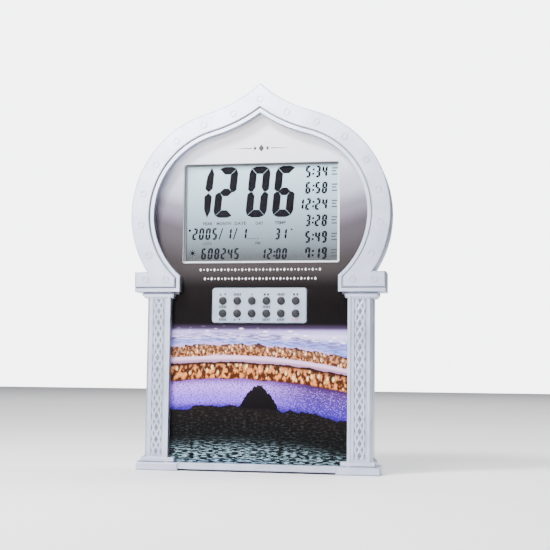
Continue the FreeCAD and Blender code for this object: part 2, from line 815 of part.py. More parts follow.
# Each cell has its button towards the side that turns row by row
def battery_cell(z, side):
    half = cell_length / 2
    can_start = -half if side > 0 else -half + cell_button
    nub_start = half - cell_button - bond if side > 0 else -half
    can_foot = Vector(can_start, cell_y, z)
    nub_foot = Vector(nub_start, cell_y, z)
    can = Part.makeCylinder(cell_radius, cell_length - cell_button, can_foot, Vector(1, 0, 0))
    can = can.makeFillet(0.6, [e for e in can.Edges if e.Closed])
    nub = Part.makeCylinder(cell_button_radius, cell_button + bond, nub_foot, Vector(1, 0, 0))
    return can.fuse(nub)


def battery_springs():
    springs = []
    for row, z in enumerate(cell_rows()):
        side = 1 if row % 2 == 0 else -1
        x = -side * (cell_length / 2)
        springs.append(Part.makeCone(2.2, 4.2, spring_length, Vector(x, cell_y, z), Vector(-side, 0, 0)))
    return Part.Compound(springs)


def battery_plates():
    plates = []
    for row, z in enumerate(cell_rows()):
        side = 1 if row % 2 == 0 else -1
        for end in (-1, 1):
            stand_off = spring_length if end == -side else 0.0
            x = end * (cell_length / 2 + stand_off)
            x0, x1 = sorted((x, x + end * contact_thick))
            plates.append(box(x0, x1, bay_inside, bay_inside + 12.0, z - 5.5, z + 5.5))
    return Part.Compound(plates)


def contact_ribs():
    ribs = []
    for row, z in enumerate(cell_rows()):
        side = 1 if row % 2 == 0 else -1
        x0, x1 = sorted((side * (cell_length / 2 + contact_thick), side * bay_half))
        ribs.append(box(x0, x1, bay_inside, bay_inside + 12.0, z - 5.5, z + 5.5))
    return ribs


# Battery door: a plate on a round lower edge with a pin at each end
def battery_door():
    radius = door_thick / 2
    plate = box(-door_half, door_half, back - door_thick, back, hinge_z, door_high)
    edge = Part.makeCylinder(radius, 2 * door_half, Vector(-door_half, hinge_y, hinge_z), Vector(1, 0, 0))
    reach = door_half + hinge_pin_reach
    pins = Part.makeCylinder(hinge_pin_radius, 2 * reach, Vector(-reach, hinge_y, hinge_z), Vector(1, 0, 0))
    notch = Part.makeCylinder(7.0, 14.0, Vector(-7.0, back + 6.2, door_high - 6.0), Vector(1, 0, 0))
    return plate.fuse([edge, pins]).cut(notch).removeSplitter()


def stand_leg():
    radius = leg_thick / 2
    plate = box(-leg_half, leg_half, leg_y - radius, leg_y + radius, leg_bottom, leg_pivot_z)
    barrel = Part.makeCylinder(radius, 2 * leg_half, Vector(-leg_half, leg_y, leg_pivot_z), Vector(1, 0, 0))
    corners = [e for e in plate.Edges if abs(e.tangentAt(e.FirstParameter).y) > 0.9]
    corners = [e for e in corners if e.BoundBox.ZMax < leg_bottom + 1]
    plate = plate.makeFillet(4.0, corners)
    hollow = box(4 - leg_half, leg_half - 4, leg_y - radius - 1, leg_y + radius - 1.6,
                 leg_bottom + 8, leg_pivot_z - 12)
    bore = bar(pin_radius + pin_running, leg_half + 1, leg_y, leg_pivot_z)
    return plate.fuse(barrel).cut([hollow, bore]).removeSplitter()


def stand_pin():
    return bar(pin_radius, leg_half + leg_gap + pin_seat, leg_y, leg_pivot_z)


def volume_switch():
    return box(switch_x - switch_width / 2, switch_x + switch_width / 2,
               cover_inside - switch_height, cover_inside,
               switch_z - switch_length / 2, switch_z + switch_length / 2)


def volume_knob():
    low = switch_z - (knob_length + knob_travel) / 2
    top = back - knob_sink
    half = knob_width / 2
    knob = box(switch_x - half, switch_x + half, cover_inside + 0.05, top, low, low + knob_length)
    grips = []
    for share in (0.25, 0.5, 0.75):
        z = low + share * knob_length
        grips.append(box(switch_x - knob_width, switch_x + knob_width, top - 0.4, back, z - 0.2, z + 0.2))
    return knob.cut(grips)


# A wire of the given radius along straight runs joined by tangent arcs
def wire_along(points, radius):
    points = [Vector(*p) for p in points]
    edges = []
    start = points[0]
    for before, corner, after in zip(points, points[1:], points[2:]):
        into = (corner - before).normalize()
        out = (after - corner).normalize()
        turn = into.getAngle(out)
        trim = 0.45 * min((corner - before).Length, (after - corner).Length)
        bend = trim / math.tan(turn / 2)
        first = corner - into * trim
        last = corner + out * trim
        half = (out - into).normalize()
        middle = corner + half * (bend / math.cos(turn / 2) - bend)
        edges.append(Part.makeLine(start, first))
        edges.append(Part.Arc(first, middle, last).toShape())
        start = last
    edges.append(Part.makeLine(start, points[-1]))
    path = Part.Wire(edges)
    direction = (points[1] - points[0]).normalize()
    section = Part.Wire([Part.makeCircle(radius, points[0], direction)])
    tube = path.makePipeShell([section], True, False)
    ratio = tube.Volume / (math.pi * radius ** 2 * path.Length)
    print("wire", round(path.Length, 1), "mm long, volume ratio", round(ratio, 4))
    return tube


# Leads from the speaker terminals and from the battery contacts to the board
def speaker_leads():
    leads = []
    y = cover_inside - speaker_rim - speaker_lead_drop
    for side in (-1, 1):
        x = side * 2.0
        z = speaker_z - side * speaker_lead_stagger
        leads.append(wire_along([
            (20.0 + x, y, z + 18.0),
            (28.0 + x, y, z + 22.0),
            (36.0 + x, y - speaker_lead_dip, z + 22.0),
            (36.0 + x, board_back, z + 22.0),
        ], lead_radius))
    return Part.Compound(leads)


def battery_leads():
    leads = []
    y = cell_y - battery_lead_drop
    for side in (-1, 1):
        x = side * (bay_half + bay_wall)
        z = bay_high - battery_lead_below
        leads.append(wire_along([
            (x, y, z),
            (x + side * 6.0, y, z),
            (x + side * 9.0, y - battery_lead_dip, z + 4.0),
            (x + side * 9.0, board_back, z + 4.0),
        ], lead_radius))
    return Part.Compound(leads)


def group(maker, places):
    return Part.Compound([maker(x, z) for x, z in places])


def main():
    save(front_shell(), "front_shell")
    save(front_panel(), "front_panel")
    save(display_carrier(), "display_carrier")
    save(glass_box(glass_margin, glass_front, glass_back), "display_glass")
    save(glass_box(-2.4, glass_back, glass_back + reflector_thick), "display_reflector")
    save(zebra_strips(), "zebra_strips")
    save(button_plate(), "button_plate")
    for number, (x, z) in enumerate(button_places(), 1):
        save(button(x, z), "button_%02d" % number)
    save(keypad_membrane(), "keypad_membrane")
    save(main_board(), "main_board")
    save(board_chips(), "board_chips")
    save(voice_chip(), "voice_chip")
    save(crystal(), "crystal")
    save(capacitors(), "capacitors")
    save(temperature_sensor(), "temperature_sensor")
    save(group(board_screw, board_screws), "board_screws")
    save(group(carrier_screw, carrier_screws), "carrier_screws")
    save(back_cover().fuse(contact_ribs()).removeSplitter(), "back_cover")
    save(group(cover_screw, cover_screws), "cover_screws")
    save(speaker_frame(), "speaker_frame")
    save(speaker_cone(), "speaker_cone")
    save(speaker_magnet(), "speaker_magnet")
    save(group(speaker_screw, speaker_screws), "speaker_screws")
    cells = [battery_cell(z, 1 if row % 2 == 0 else -1) for row, z in enumerate(cell_rows())]
    save(Part.Compound(cells), "battery_cells")
    save(battery_springs(), "battery_springs")
    save(battery_plates(), "battery_plates")
    save(battery_door(), "battery_door")
    save(stand_leg(), "stand_leg")
    save(stand_pin(), "stand_pin")
    save(volume_switch(), "volume_switch")
    save(volume_knob(), "volume_knob")
    save(speaker_leads(), "speaker_leads")
    save(battery_leads(), "battery_leads")


main()
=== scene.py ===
# %% [markdown]
# # An arch-shaped prayer clock on two columns
# The clock is a moulded plastic frame, lacquered silver, round a printed sheet. A liquid crystal
# display and a plate of rubber buttons sit in windows of that sheet. The shapes of the housing come
# ready from the frame model, in metres, with Z up and the display facing -Y. This lesson dresses
# them: it adds what is cast or printed on them, and gives every surface its finish.

# %% Load the frame model
import math

import bpy
from mathutils import Matrix, Vector


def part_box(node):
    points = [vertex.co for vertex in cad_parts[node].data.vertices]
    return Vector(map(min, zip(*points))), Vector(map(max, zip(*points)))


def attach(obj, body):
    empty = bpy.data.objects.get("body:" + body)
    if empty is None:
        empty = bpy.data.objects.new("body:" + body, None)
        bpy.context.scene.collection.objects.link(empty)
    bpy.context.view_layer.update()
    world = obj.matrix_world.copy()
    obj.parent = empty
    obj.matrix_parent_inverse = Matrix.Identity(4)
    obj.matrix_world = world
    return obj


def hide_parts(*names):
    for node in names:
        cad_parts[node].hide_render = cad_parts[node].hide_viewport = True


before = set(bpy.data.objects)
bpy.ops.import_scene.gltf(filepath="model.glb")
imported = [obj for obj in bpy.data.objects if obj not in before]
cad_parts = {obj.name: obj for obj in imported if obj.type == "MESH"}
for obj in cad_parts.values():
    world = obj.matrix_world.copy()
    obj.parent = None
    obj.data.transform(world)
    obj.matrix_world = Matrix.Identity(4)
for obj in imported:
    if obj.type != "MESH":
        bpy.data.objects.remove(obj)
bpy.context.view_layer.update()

# %% [markdown]
# ## Sizes and colours
# A maker thinks in millimetres and picks colours as hex values on a screen. Blender wants
# metres and linear light, so each gets one small function, and nothing else converts.

# %% Millimetres and screen colours
MM = 0.001


def linear(screen_hex):
    channels = [int(screen_hex[i:i + 2], 16) / 255 for i in (1, 3, 5)]
    return [c / 12.92 if c <= 0.04045 else ((c + 0.055) / 1.055) ** 2.4 for c in channels] + [1.0]


def front_of(node):
    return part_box(node)[0].y / MM


panel_y = front_of("front_panel")
glass_y = front_of("display_glass")
plate_y = front_of("button_plate")
print("sheet, glass and key plate fronts in mm:", round(panel_y, 2), round(glass_y, 2), round(plate_y, 2))

# %% [markdown]
# ## Camera
# The photograph looks at the clock from a little to the right, from the height of its columns,
# slightly upwards. The camera's place and turn were found from lengths that are equal on the two
# sides of the clock and look unequal in the picture.

# %% Camera
FOCAL_PIXELS = 1105.9
PICTURE_PIXELS = 550
SENSOR_MM = 36.0
CAMERA_PLACE = (163.91, -845.93, 70.85)
YAW, PITCH, ROLL = 10.295, -5.356, 0.687

camera_data = bpy.data.cameras.new("photo_camera")
camera_data.sensor_width = SENSOR_MM
camera_data.lens = FOCAL_PIXELS / PICTURE_PIXELS * camera_data.sensor_width
camera = bpy.data.objects.new("photo_camera", camera_data)
bpy.context.scene.collection.objects.link(camera)
yaw, pitch, roll = math.radians(YAW), math.radians(PITCH), math.radians(ROLL)
look = Vector((-math.sin(yaw) * math.cos(pitch), math.cos(yaw) * math.cos(pitch), -math.sin(pitch)))
level = Vector((math.cos(yaw), math.sin(yaw), 0))
upright = level.cross(look)
right = math.cos(roll) * level + math.sin(roll) * upright
up = -math.sin(roll) * level + math.cos(roll) * upright
turn = Matrix((right, up, -look)).transposed()
camera.matrix_world = Matrix.Translation(Vector(CAMERA_PLACE) * MM) @ turn.to_4x4()
bpy.context.scene.camera = camera
print("lens", round(camera_data.lens, 2), "mm")

# %% [markdown]
# ## Floor and light
# The photograph is cut out on white, so the studio is plain: a pale floor and a pale surrounding,
# much brighter where the camera sees it directly. The key lamp stands close by at the upper left,
# so its light falls off down the clock and each raised edge shades its lower right side. The back
# lamp rakes across the back, and the floor lamp whitens the floor behind the clock.

# %% Floor and lamps
FLOOR_HALF, FLOOR_DROP = 6, 0.0002
OVERHEAD_FROM, HORIZON_LIGHT, OVERHEAD_LIGHT, SEEN_LIGHT = 0.35, 0.10, 0.8, 6.0

floor_mesh = bpy.data.meshes.new("studio_floor")
corner_signs = ((-1, -1), (1, -1), (1, 1), (-1, 1))
floor_corners = [(x * FLOOR_HALF, y * FLOOR_HALF, -FLOOR_DROP) for x, y in corner_signs]
floor_mesh.from_pydata(floor_corners, [], [(0, 1, 2, 3)])
studio_floor = bpy.data.objects.new("studio_floor", floor_mesh)
bpy.context.scene.collection.objects.link(studio_floor)

world = bpy.data.worlds.new("pale_studio")
world.use_nodes = True
sky_nodes = world.node_tree.nodes
surround = sky_nodes["Background"]
surround.inputs["Color"].default_value = linear("#F8F9FC")
direction = sky_nodes.new("ShaderNodeTexCoord")
heading = sky_nodes.new("ShaderNodeSeparateXYZ")
overhead = sky_nodes.new("ShaderNodeMapRange")
overhead.interpolation_type = "SMOOTHSTEP"
overhead.inputs["From Min"].default_value = OVERHEAD_FROM
overhead.inputs["To Min"].default_value = HORIZON_LIGHT
overhead.inputs["To Max"].default_value = OVERHEAD_LIGHT
seen_directly = sky_nodes.new("ShaderNodeLightPath")
strength = sky_nodes.new("ShaderNodeMix")
strength.inputs[3].default_value = SEEN_LIGHT
world.node_tree.links.new(direction.outputs["Generated"], heading.inputs[0])
world.node_tree.links.new(heading.outputs["Z"], overhead.inputs["Value"])
world.node_tree.links.new(seen_directly.outputs["Is Camera Ray"], strength.inputs[0])
world.node_tree.links.new(overhead.outputs[0], strength.inputs[2])
world.node_tree.links.new(strength.outputs[0], surround.inputs["Strength"])
bpy.context.scene.world = world


def soft_lamp(name, place, aim, width, power):
    data = bpy.data.lights.new(name, "AREA")
    data.shape = "DISK"
    data.size = width
    data.energy = power
    lamp = bpy.data.objects.new(name, data)
    lamp.location = place
    lamp.rotation_euler = (Vector(aim) - Vector(place)).to_track_quat("-Z", "Y").to_euler()
    bpy.context.scene.collection.objects.link(lamp)


soft_lamp("key_lamp", (-0.30, -0.42, 0.76), (-0.03, 0, 0.30), 0.20, 14)
soft_lamp("sheen_lamp", (-0.32, -1.0, 0.62), (-0.04, 0, 0.29), 0.42, 12)
soft_lamp("fill_lamp", (1.3, -1.0, 0.5), (0, 0, 0.15), 1.2, 0.6)
soft_lamp("back_lamp", (0.8, 0.42, 0.85), (0, 0.02, 0.15), 0.3, 7)
soft_lamp("floor_lamp", (0.0, 1.5, 2.9), (0, 1.9, 0), 3.0, 90)

# %% [markdown]
# ## Finishes
# A finish is a small tree of nodes. One function adds a node, sets its values and wires it, and
# one function starts a finish from its colour and gloss. Noise patterns take their scale from a
# real size: a feature of 0.4 mm repeats 2500 times in a metre.

# %% Adding nodes and starting a finish
def add_node(material, kind, sockets=None, wires=None, **settings):
    node = material.node_tree.nodes.new("ShaderNode" + kind)
    for key, value in settings.items():
        setattr(node, key, value)
    for key, value in (sockets or {}).items():
        node.inputs[key].default_value = value
    for key, source in (wires or {}).items():
        material.node_tree.links.new(source, node.inputs[key])
    return node


def per_metre(size_mm):
    return 1.0 / (size_mm * MM)


def start_finish(name, screen_hex, **sockets):
    material = bpy.data.materials.new(name)
    material.use_nodes = True
    skin = material.node_tree.nodes["Principled BSDF"]
    skin.inputs["Base Color"].default_value = linear(screen_hex)
    for key, value in sockets.items():
        skin.inputs[key.replace("_", " ")].default_value = value
    return material, skin


def wire(material, source, skin, socket):
    material.node_tree.links.new(source, skin.inputs[socket])


# %% [markdown]
# ### Grain that most moulded parts share
# A moulded or sprayed surface is never one flat tone: its colour drifts a little over centimetres,
# and a finer grain catches the light. This helper wires both into a finish, from the colour of the
# pale places and of the dark places and from the size and depth of the grain.

# %% Drift of colour and fine grain
def grain(material, skin, pale_hex, dark_hex, grain_mm, depth_mm, drift_mm=18.0, gloss=(0.35, 0.5)):
    place = add_node(material, "TexCoord").outputs["Object"]
    drift = add_node(material, "TexNoise", {"Scale": per_metre(drift_mm), "Detail": 3.0}, {"Vector": place})
    fine = add_node(material, "TexNoise", {"Scale": per_metre(grain_mm), "Detail": 2.0}, {"Vector": place})
    both = add_node(material, "Math", {1: 0.35}, {0: fine.outputs["Fac"]}, operation="MULTIPLY")
    share = add_node(material, "Math", {}, {0: drift.outputs["Fac"], 1: both.outputs[0]}, operation="ADD")
    spread = add_node(material, "MapRange", {"From Min": 0.5, "From Max": 0.85}, {"Value": share.outputs[0]})
    tone = add_node(material, "Mix", {6: linear(pale_hex), 7: linear(dark_hex)}, {0: spread.outputs[0]},
                    data_type="RGBA")
    wire(material, tone.outputs[2], skin, "Base Color")
    rough = add_node(material, "MapRange", {"To Min": gloss[0], "To Max": gloss[1]}, {"Value": fine.outputs["Fac"]})
    wire(material, rough.outputs[0], skin, "Roughness")
    bump = add_node(material, "Bump", {"Strength": 0.6, "Distance": depth_mm * MM}, {"Height": fine.outputs["Fac"]})
    wire(material, bump.outputs["Normal"], skin, "Normal")
    return tone.outputs[2]


# %% [markdown]
# ### Silver lacquer on ABS
# The frame is ABS with a sprayed silver lacquer: aluminium flakes in a clear coat, so it is half
# metal and half pale paint, satin, a little blue. Flakes are about 0.05 mm, too fine to show, so the
# sparkle is drawn at 0.5 mm. The steep walls of the steps and the groove round the arch are painted
# darker: this is painted shade.

# %% Silver lacquer and key plate lacquer
# Painted shade: steep walls behind the front steps and the groove round the arch are mixed towards dark grey.
STEEP_FROM, STEEP_FULL, WALL_PAINTED_SHADE = -0.88, -0.3, 0.62
STEPS_FROM, STEPS_FULL = -9.0, -10.5
GROOVE_FLOOR, GROOVE_REACH, GROOVE_PAINTED_SHADE = -16.55, 0.06, 0.75

silver_lacquer, skin = start_finish("silver_lacquer_on_ABS", "#D6DDF1", Metallic=0.6, IOR=1.5)
lacquer_tone = grain(silver_lacquer, skin, "#D6DDF3", "#C2CADF", 0.5, 0.006, gloss=(0.3, 0.42))
spots = add_node(silver_lacquer, "TexCoord")
faces_to = add_node(silver_lacquer, "SeparateXYZ", {}, {0: spots.outputs["Normal"]})
lies_at = add_node(silver_lacquer, "SeparateXYZ", {}, {0: spots.outputs["Object"]})
steep = add_node(silver_lacquer, "MapRange",
                 {"From Min": STEEP_FROM, "From Max": STEEP_FULL, "To Max": WALL_PAINTED_SHADE},
                 {"Value": faces_to.outputs["Y"]})
stepped = add_node(silver_lacquer, "MapRange", {"From Min": STEPS_FROM * MM, "From Max": STEPS_FULL * MM},
                   {"Value": lies_at.outputs["Y"]})
wall_painted_shade = add_node(silver_lacquer, "Math", {}, {0: steep.outputs[0], 1: stepped.outputs[0]}, operation="MULTIPLY")
in_groove = add_node(silver_lacquer, "Math", {1: GROOVE_FLOOR * MM, 2: GROOVE_REACH * MM},
                     {0: lies_at.outputs["Y"]}, operation="COMPARE")
groove_painted_shade = add_node(silver_lacquer, "Math", {1: GROOVE_PAINTED_SHADE}, {0: in_groove.outputs[0]},
                        operation="MULTIPLY")
painted_shade_share = add_node(silver_lacquer, "Math", {}, {0: wall_painted_shade.outputs[0], 1: groove_painted_shade.outputs[0]},
                     operation="MAXIMUM")
lacquer_with_painted_shade = add_node(silver_lacquer, "Mix", {7: linear("#5E6373")}, {0: painted_shade_share.outputs[0], 6: lacquer_tone},
                     data_type="RGBA")
wire(silver_lacquer, lacquer_with_painted_shade.outputs[2], skin, "Base Color")

key_lacquer, skin = start_finish("key_plate_lacquer_on_ABS", "#C6D0DC", Metallic=0.4, IOR=1.5)
grain(key_lacquer, skin, "#A8B6C8", "#96A4B6", 0.6, 0.01, gloss=(0.36, 0.5))

# Painted shade: a darker lacquer tone for the ground between the column strands.
recess_painted_shade, skin = start_finish("painted_shade_on_lacquer", "#8B8795", Metallic=0.2, IOR=1.5)
grain(recess_painted_shade, skin, "#84879A", "#626579", 1.2, 0.02, drift_mm=5.0, gloss=(0.5, 0.65))

# %% [markdown]
# ### Moulded plastics, rubber and resin
# The window rim and the back are bare ABS, the back with a spark-eroded texture from its mould. The
# upper and the left slope of the rim carry painted shade, which makes the display look set deep.
# The buttons are silicone rubber: matt, dark, with a faint bloom. The switch is nylon.

# %% Plastics and rubbers
rim_abs, skin = start_finish("moulded_grey_ABS", "#C9CED4", IOR=1.53)
rim_tone = grain(rim_abs, skin, "#D3D8DD", "#BCC2C8", 0.6, 0.01)
# Painted shade: slopes of the rim that face down or to the right are mixed towards near black.
slopes = add_node(rim_abs, "SeparateXYZ", {}, {0: add_node(rim_abs, "TexCoord").outputs["Normal"]})
from_above = add_node(rim_abs, "MapRange", {"From Min": -0.2, "From Max": -0.6, "To Max": 0.95},
                      {"Value": slopes.outputs["Z"]})
from_left = add_node(rim_abs, "MapRange", {"From Min": 0.2, "From Max": 0.6, "To Max": 0.8},
                     {"Value": slopes.outputs["X"]})
rim_painted_shade_share = add_node(rim_abs, "Math", {}, {0: from_above.outputs[0], 1: from_left.outputs[0]},
                operation="MAXIMUM")
rim_tone_with_painted_shade = add_node(rim_abs, "Mix", {7: linear("#1C1D20")}, {0: rim_painted_shade_share.outputs[0], 6: rim_tone},
                    data_type="RGBA")
wire(rim_abs, rim_tone_with_painted_shade.outputs[2], skin, "Base Color")

back_abs, skin = start_finish("spark_textured_ABS", "#C2C6CE", IOR=1.53)
grain(back_abs, skin, "#C4C8D0", "#B7BCC5", 0.8, 0.05, gloss=(0.5, 0.68))

button_silicone, skin = start_finish("moulded_silicone_rubber", "#3B3B40", IOR=1.42, Specular_IOR_Level=0.35)
grain(button_silicone, skin, "#29292E", "#19191D", 0.5, 0.02, drift_mm=3.0, gloss=(0.42, 0.6))

contact_silicone, skin = start_finish("conductive_silicone", "#3A3A3C", IOR=1.42)
grain(contact_silicone, skin, "#434345", "#2F2F31", 0.7, 0.02, gloss=(0.6, 0.8))

switch_nylon, skin = start_finish("moulded_black_nylon", "#1E1E20", IOR=1.53)
grain(switch_nylon, skin, "#26262A", "#161618", 0.4, 0.01)

resin_black, skin = start_finish("cast_black_resin", "#141416", IOR=1.55)
grain(resin_black, skin, "#1B1B1E", "#0D0D0F", 1.5, 0.05, gloss=(0.25, 0.4))

# %% [markdown]
# ### Metals, card and the small electrical parts
# Zinc-plated screws and the speaker basket are bright but soft steel. Springs and contacts are
# tinned or nickelled and glossier. The cone is pressed black paper, the magnet sintered ferrite, the
# board green solder mask over glass cloth, and the cells wear a shrunk plastic jacket.

# %% Metals and electrical parts
zinc_steel, skin = start_finish("zinc_plated_steel", "#B9BABC", Metallic=1.0)
grain(zinc_steel, skin, "#C6C7C9", "#A4A5A8", 0.4, 0.008, drift_mm=4.0, gloss=(0.28, 0.45))

tinned_spring, skin = start_finish("tinned_spring_steel", "#D2D2CC", Metallic=1.0)
grain(tinned_spring, skin, "#DADAD5", "#BDBDB6", 0.5, 0.006, drift_mm=3.0, gloss=(0.16, 0.3))

drawn_pin, skin = start_finish("drawn_bright_steel", "#C4C5C7", Metallic=1.0)
grain(drawn_pin, skin, "#CFD0D2", "#B2B3B6", 0.3, 0.004, gloss=(0.2, 0.32))

pressed_paper, skin = start_finish("pressed_speaker_paper", "#1B1B1B", IOR=1.45)
grain(pressed_paper, skin, "#242424", "#121212", 0.9, 0.08, drift_mm=4.0, gloss=(0.75, 0.95))

ferrite_block, skin = start_finish("sintered_ferrite", "#2A2A2B", IOR=1.6)
grain(ferrite_block, skin, "#343435", "#1E1E1F", 0.5, 0.03, gloss=(0.5, 0.7))

solder_mask, skin = start_finish("green_solder_mask", "#1D5A30", IOR=1.5)
grain(solder_mask, skin, "#236738", "#174A27", 0.6, 0.02, drift_mm=8.0, gloss=(0.25, 0.4))

cell_sleeve, skin = start_finish("shrunk_cell_jacket", "#8E2A22", IOR=1.5)
grain(cell_sleeve, skin, "#9C332A", "#7C211A", 2.0, 0.02, drift_mm=14.0, gloss=(0.2, 0.3))

capacitor_sleeve, skin = start_finish("shrunk_blue_sleeve", "#23284E", IOR=1.5)
grain(capacitor_sleeve, skin, "#2B3160", "#1A1E3C", 0.8, 0.01, drift_mm=3.0, gloss=(0.22, 0.34))

lead_pvc, skin = start_finish("extruded_red_PVC", "#9A2320", IOR=1.53)
grain(lead_pvc, skin, "#A82B26", "#851B19", 0.6, 0.01, drift_mm=6.0, gloss=(0.3, 0.42))

# %% [markdown]
# ### Liquid crystal display
# The panel is two panes with polarising film, over a satin foil that throws the room's light back.
# Its colour carries painted light and shade: pale blue at the top and greyer towards its lower edge.
# The film in front is nearly clear and glossy, and the lit segments are almost black.

# %% Display finishes
PAINTED_LIGHT_LOW, PAINTED_LIGHT_HIGH, FOIL_GRAIN = 165, 240, 0.5

crystal_ground, skin = start_finish("reflective_liquid_crystal", "#C0CDD2", IOR=1.5, Roughness=0.55)
place = add_node(crystal_ground, "TexCoord").outputs["Object"]
axes = add_node(crystal_ground, "SeparateXYZ", {}, {0: place})
# Painted light and shade: the ground runs from dark grey at the bottom to pale blue at the top.
rise = add_node(crystal_ground, "MapRange", {"From Min": PAINTED_LIGHT_LOW * MM, "From Max": PAINTED_LIGHT_HIGH * MM},
                {"Value": axes.outputs["Z"]})
ground = add_node(crystal_ground, "Mix", {6: linear("#33383C"), 7: linear("#C0E2F2")}, {0: rise.outputs[0]},
                  data_type="RGBA")
foil = add_node(crystal_ground, "TexNoise", {"Scale": per_metre(FOIL_GRAIN), "Detail": 2.0},
                {"Vector": place})
speckle = add_node(crystal_ground, "MapRange", {"From Min": 0.35, "From Max": 0.8, "To Max": 0.14},
                   {"Value": foil.outputs["Fac"]})
speck = add_node(crystal_ground, "Mix", {7: linear("#8E9FA8")}, {0: speckle.outputs[0], 6: ground.outputs[2]},
                 data_type="RGBA")
wire(crystal_ground, speck.outputs[2], skin, "Base Color")

segment_dark, skin = start_finish("dark_liquid_crystal", "#18141C", IOR=1.5, Specular_IOR_Level=0.05)
grain(segment_dark, skin, "#16131A", "#0F0D13", 0.6, 0.002, drift_mm=12.0, gloss=(0.45, 0.55))

label_dark, skin = start_finish("printed_display_grey", "#6A7076", IOR=1.5)
grain(label_dark, skin, "#33383E", "#292D33", 0.5, 0.002, drift_mm=9.0, gloss=(0.45, 0.55))

polariser, skin = start_finish("clear_polarising_film", "#2A3034", IOR=1.4, Alpha=0.05, Specular_IOR_Level=0.1)
grain(polariser, skin, "#2E3539", "#252B2F", 1.0, 0.001, drift_mm=25.0, gloss=(0.06, 0.1))

reflector_foil, skin = start_finish("satin_aluminium_foil", "#C9CFD2", Metallic=1.0)
grain(reflector_foil, skin, "#D2D7D9", "#BCC2C6", 0.5, 0.01, gloss=(0.3, 0.4))

# %% [markdown]
# ### The printed sheet
# The sheet behind the frame is offset print under a gloss film. It is silver-white at the top,
# darkens through grey-mauve to brown-black behind the key plate, and below carries a night picture.
# The print here is a landscape of no particular place: a pale glow over far hills, lamplit
# shores, a lilac lake and a dark near bank with cold glints. It is built as a painter works, from the
# back to the front: each layer covers what is below its own wavy edge.

# %% Start of the print: place on the sheet and the sky
sheet_print, sheet_skin = start_finish("offset_print_under_film", "#3A302F", IOR=1.5, Specular_IOR_Level=0.07)
place = add_node(sheet_print, "TexCoord").outputs["Object"]
millimetres = add_node(sheet_print, "VectorMath", {1: (1000, 1000, 1000)}, {0: place},
                       operation="MULTIPLY").outputs[0]
axes = add_node(sheet_print, "SeparateXYZ", {}, {0: millimetres})
across, sheet_height = axes.outputs["X"], axes.outputs["Z"]


def blend_print(below, above, share):
    return add_node(sheet_print, "Mix", {}, {0: share, 6: below, 7: above}, data_type="RGBA").outputs[2]


def between(value, low, high, full=1.0):
    """A share that grows from nothing at low to full at high, with soft ends."""
    sockets = {"From Min": low, "From Max": high, "To Min": 0.0, "To Max": full}
    return add_node(sheet_print, "MapRange", sockets, {"Value": value},
                    interpolation_type="SMOOTHSTEP").outputs[0]


def times(a, b):
    if isinstance(b, float):
        return add_node(sheet_print, "Math", {1: b}, {0: a}, operation="MULTIPLY").outputs[0]
    return add_node(sheet_print, "Math", {}, {0: a, 1: b}, operation="MULTIPLY").outputs[0]


def mottle(size_x, size_z, low, high, seed, detail=3.0):
    scaled = add_node(sheet_print, "VectorMath", {1: (1 / size_x, 1, 1 / size_z)}, {0: millimetres},
                      operation="MULTIPLY")
    noise = add_node(sheet_print, "TexNoise", {"Scale": 1.0, "Detail": detail, "W": seed},
                     {"Vector": scaled.outputs[0]}, noise_dimensions="4D")
    return between(noise.outputs["Fac"], low, high)


def shaded(value, tones):
    """Colours up the sheet: tones are (height in mm, screen colour) from the lowest to the highest."""
    low, high = tones[0][0], tones[-1][0]
    along = add_node(sheet_print, "MapRange", {"From Min": low, "From Max": high}, {"Value": value})
    ramp = add_node(sheet_print, "ValToRGB", {}, {"Fac": along.outputs[0]})
    ramp.color_ramp.interpolation = "EASE"
    while len(ramp.color_ramp.elements) < len(tones):
        ramp.color_ramp.elements.new(0.5)
    for element, (at, screen_hex) in zip(ramp.color_ramp.elements, tones):
        element.position = (at - low) / (high - low)
        element.color = linear(screen_hex)
    return ramp.outputs["Color"]


SIDE_DROP, DOT_SHARE = 0.002, 0.45
PICTURE_SLANT, PICTURE_BEND = 0.055, 0.0011

sideways = add_node(sheet_print, "Math", {}, {0: across, 1: across}, operation="MULTIPLY").outputs[0]
side_drop = add_node(sheet_print, "Math", {1: SIDE_DROP}, {0: sideways}, operation="MULTIPLY").outputs[0]
above_picture = between(sheet_height, 150, 200)
side_shade = times(side_drop, above_picture)
sky_height = add_node(sheet_print, "Math", {}, {0: sheet_height, 1: side_shade}, operation="SUBTRACT").outputs[0]
sky = shaded(sky_height, [
    (90, "#9AA6F0"), (97, "#8E96E8"), (103, "#D8CCFA"), (106.5, "#B4A4E4"), (109.5, "#3C3048"), (113, "#0E0B0E"),
    (126, "#0C090A"), (140, "#120E0F"), (158, "#3C3738"), (179, "#534D54"), (193, "#7B7583"), (210, "#B4B6C6"),
    (238, "#EAEAF6"), (262, "#F4F2F8"), (285, "#F8F6FA"),
])
print_grain = times(mottle(0.7, 0.7, 0.5, 0.72, 9.0), between(sky_height, 238, 205))
dot_tones = shaded(sky_height, [(90, "#1A1518"), (170, "#35302F"), (285, "#77737E")])
sky = blend_print(sky, dot_tones, times(print_grain, DOT_SHARE))
slanted = add_node(sheet_print, "Math", {1: PICTURE_SLANT}, {0: across}, operation="MULTIPLY").outputs[0]
arched = add_node(sheet_print, "Math", {1: PICTURE_BEND}, {0: sideways}, operation="MULTIPLY").outputs[0]
bent = add_node(sheet_print, "Math", {}, {0: slanted, 1: arched}, operation="ADD").outputs[0]
height = add_node(sheet_print, "Math", {}, {0: sheet_height, 1: bent}, operation="ADD").outputs[0]
print("sky tones from 90 to 285 mm")

# %% [markdown]
# The layers lean down to the right and bend down at both sides, so the height in the picture is not
# the height on the sheet. A layer also needs a wavy upper edge. Noise that depends only on the distance across
# gives the height of the edge at each place, so hills roll and never overhang.

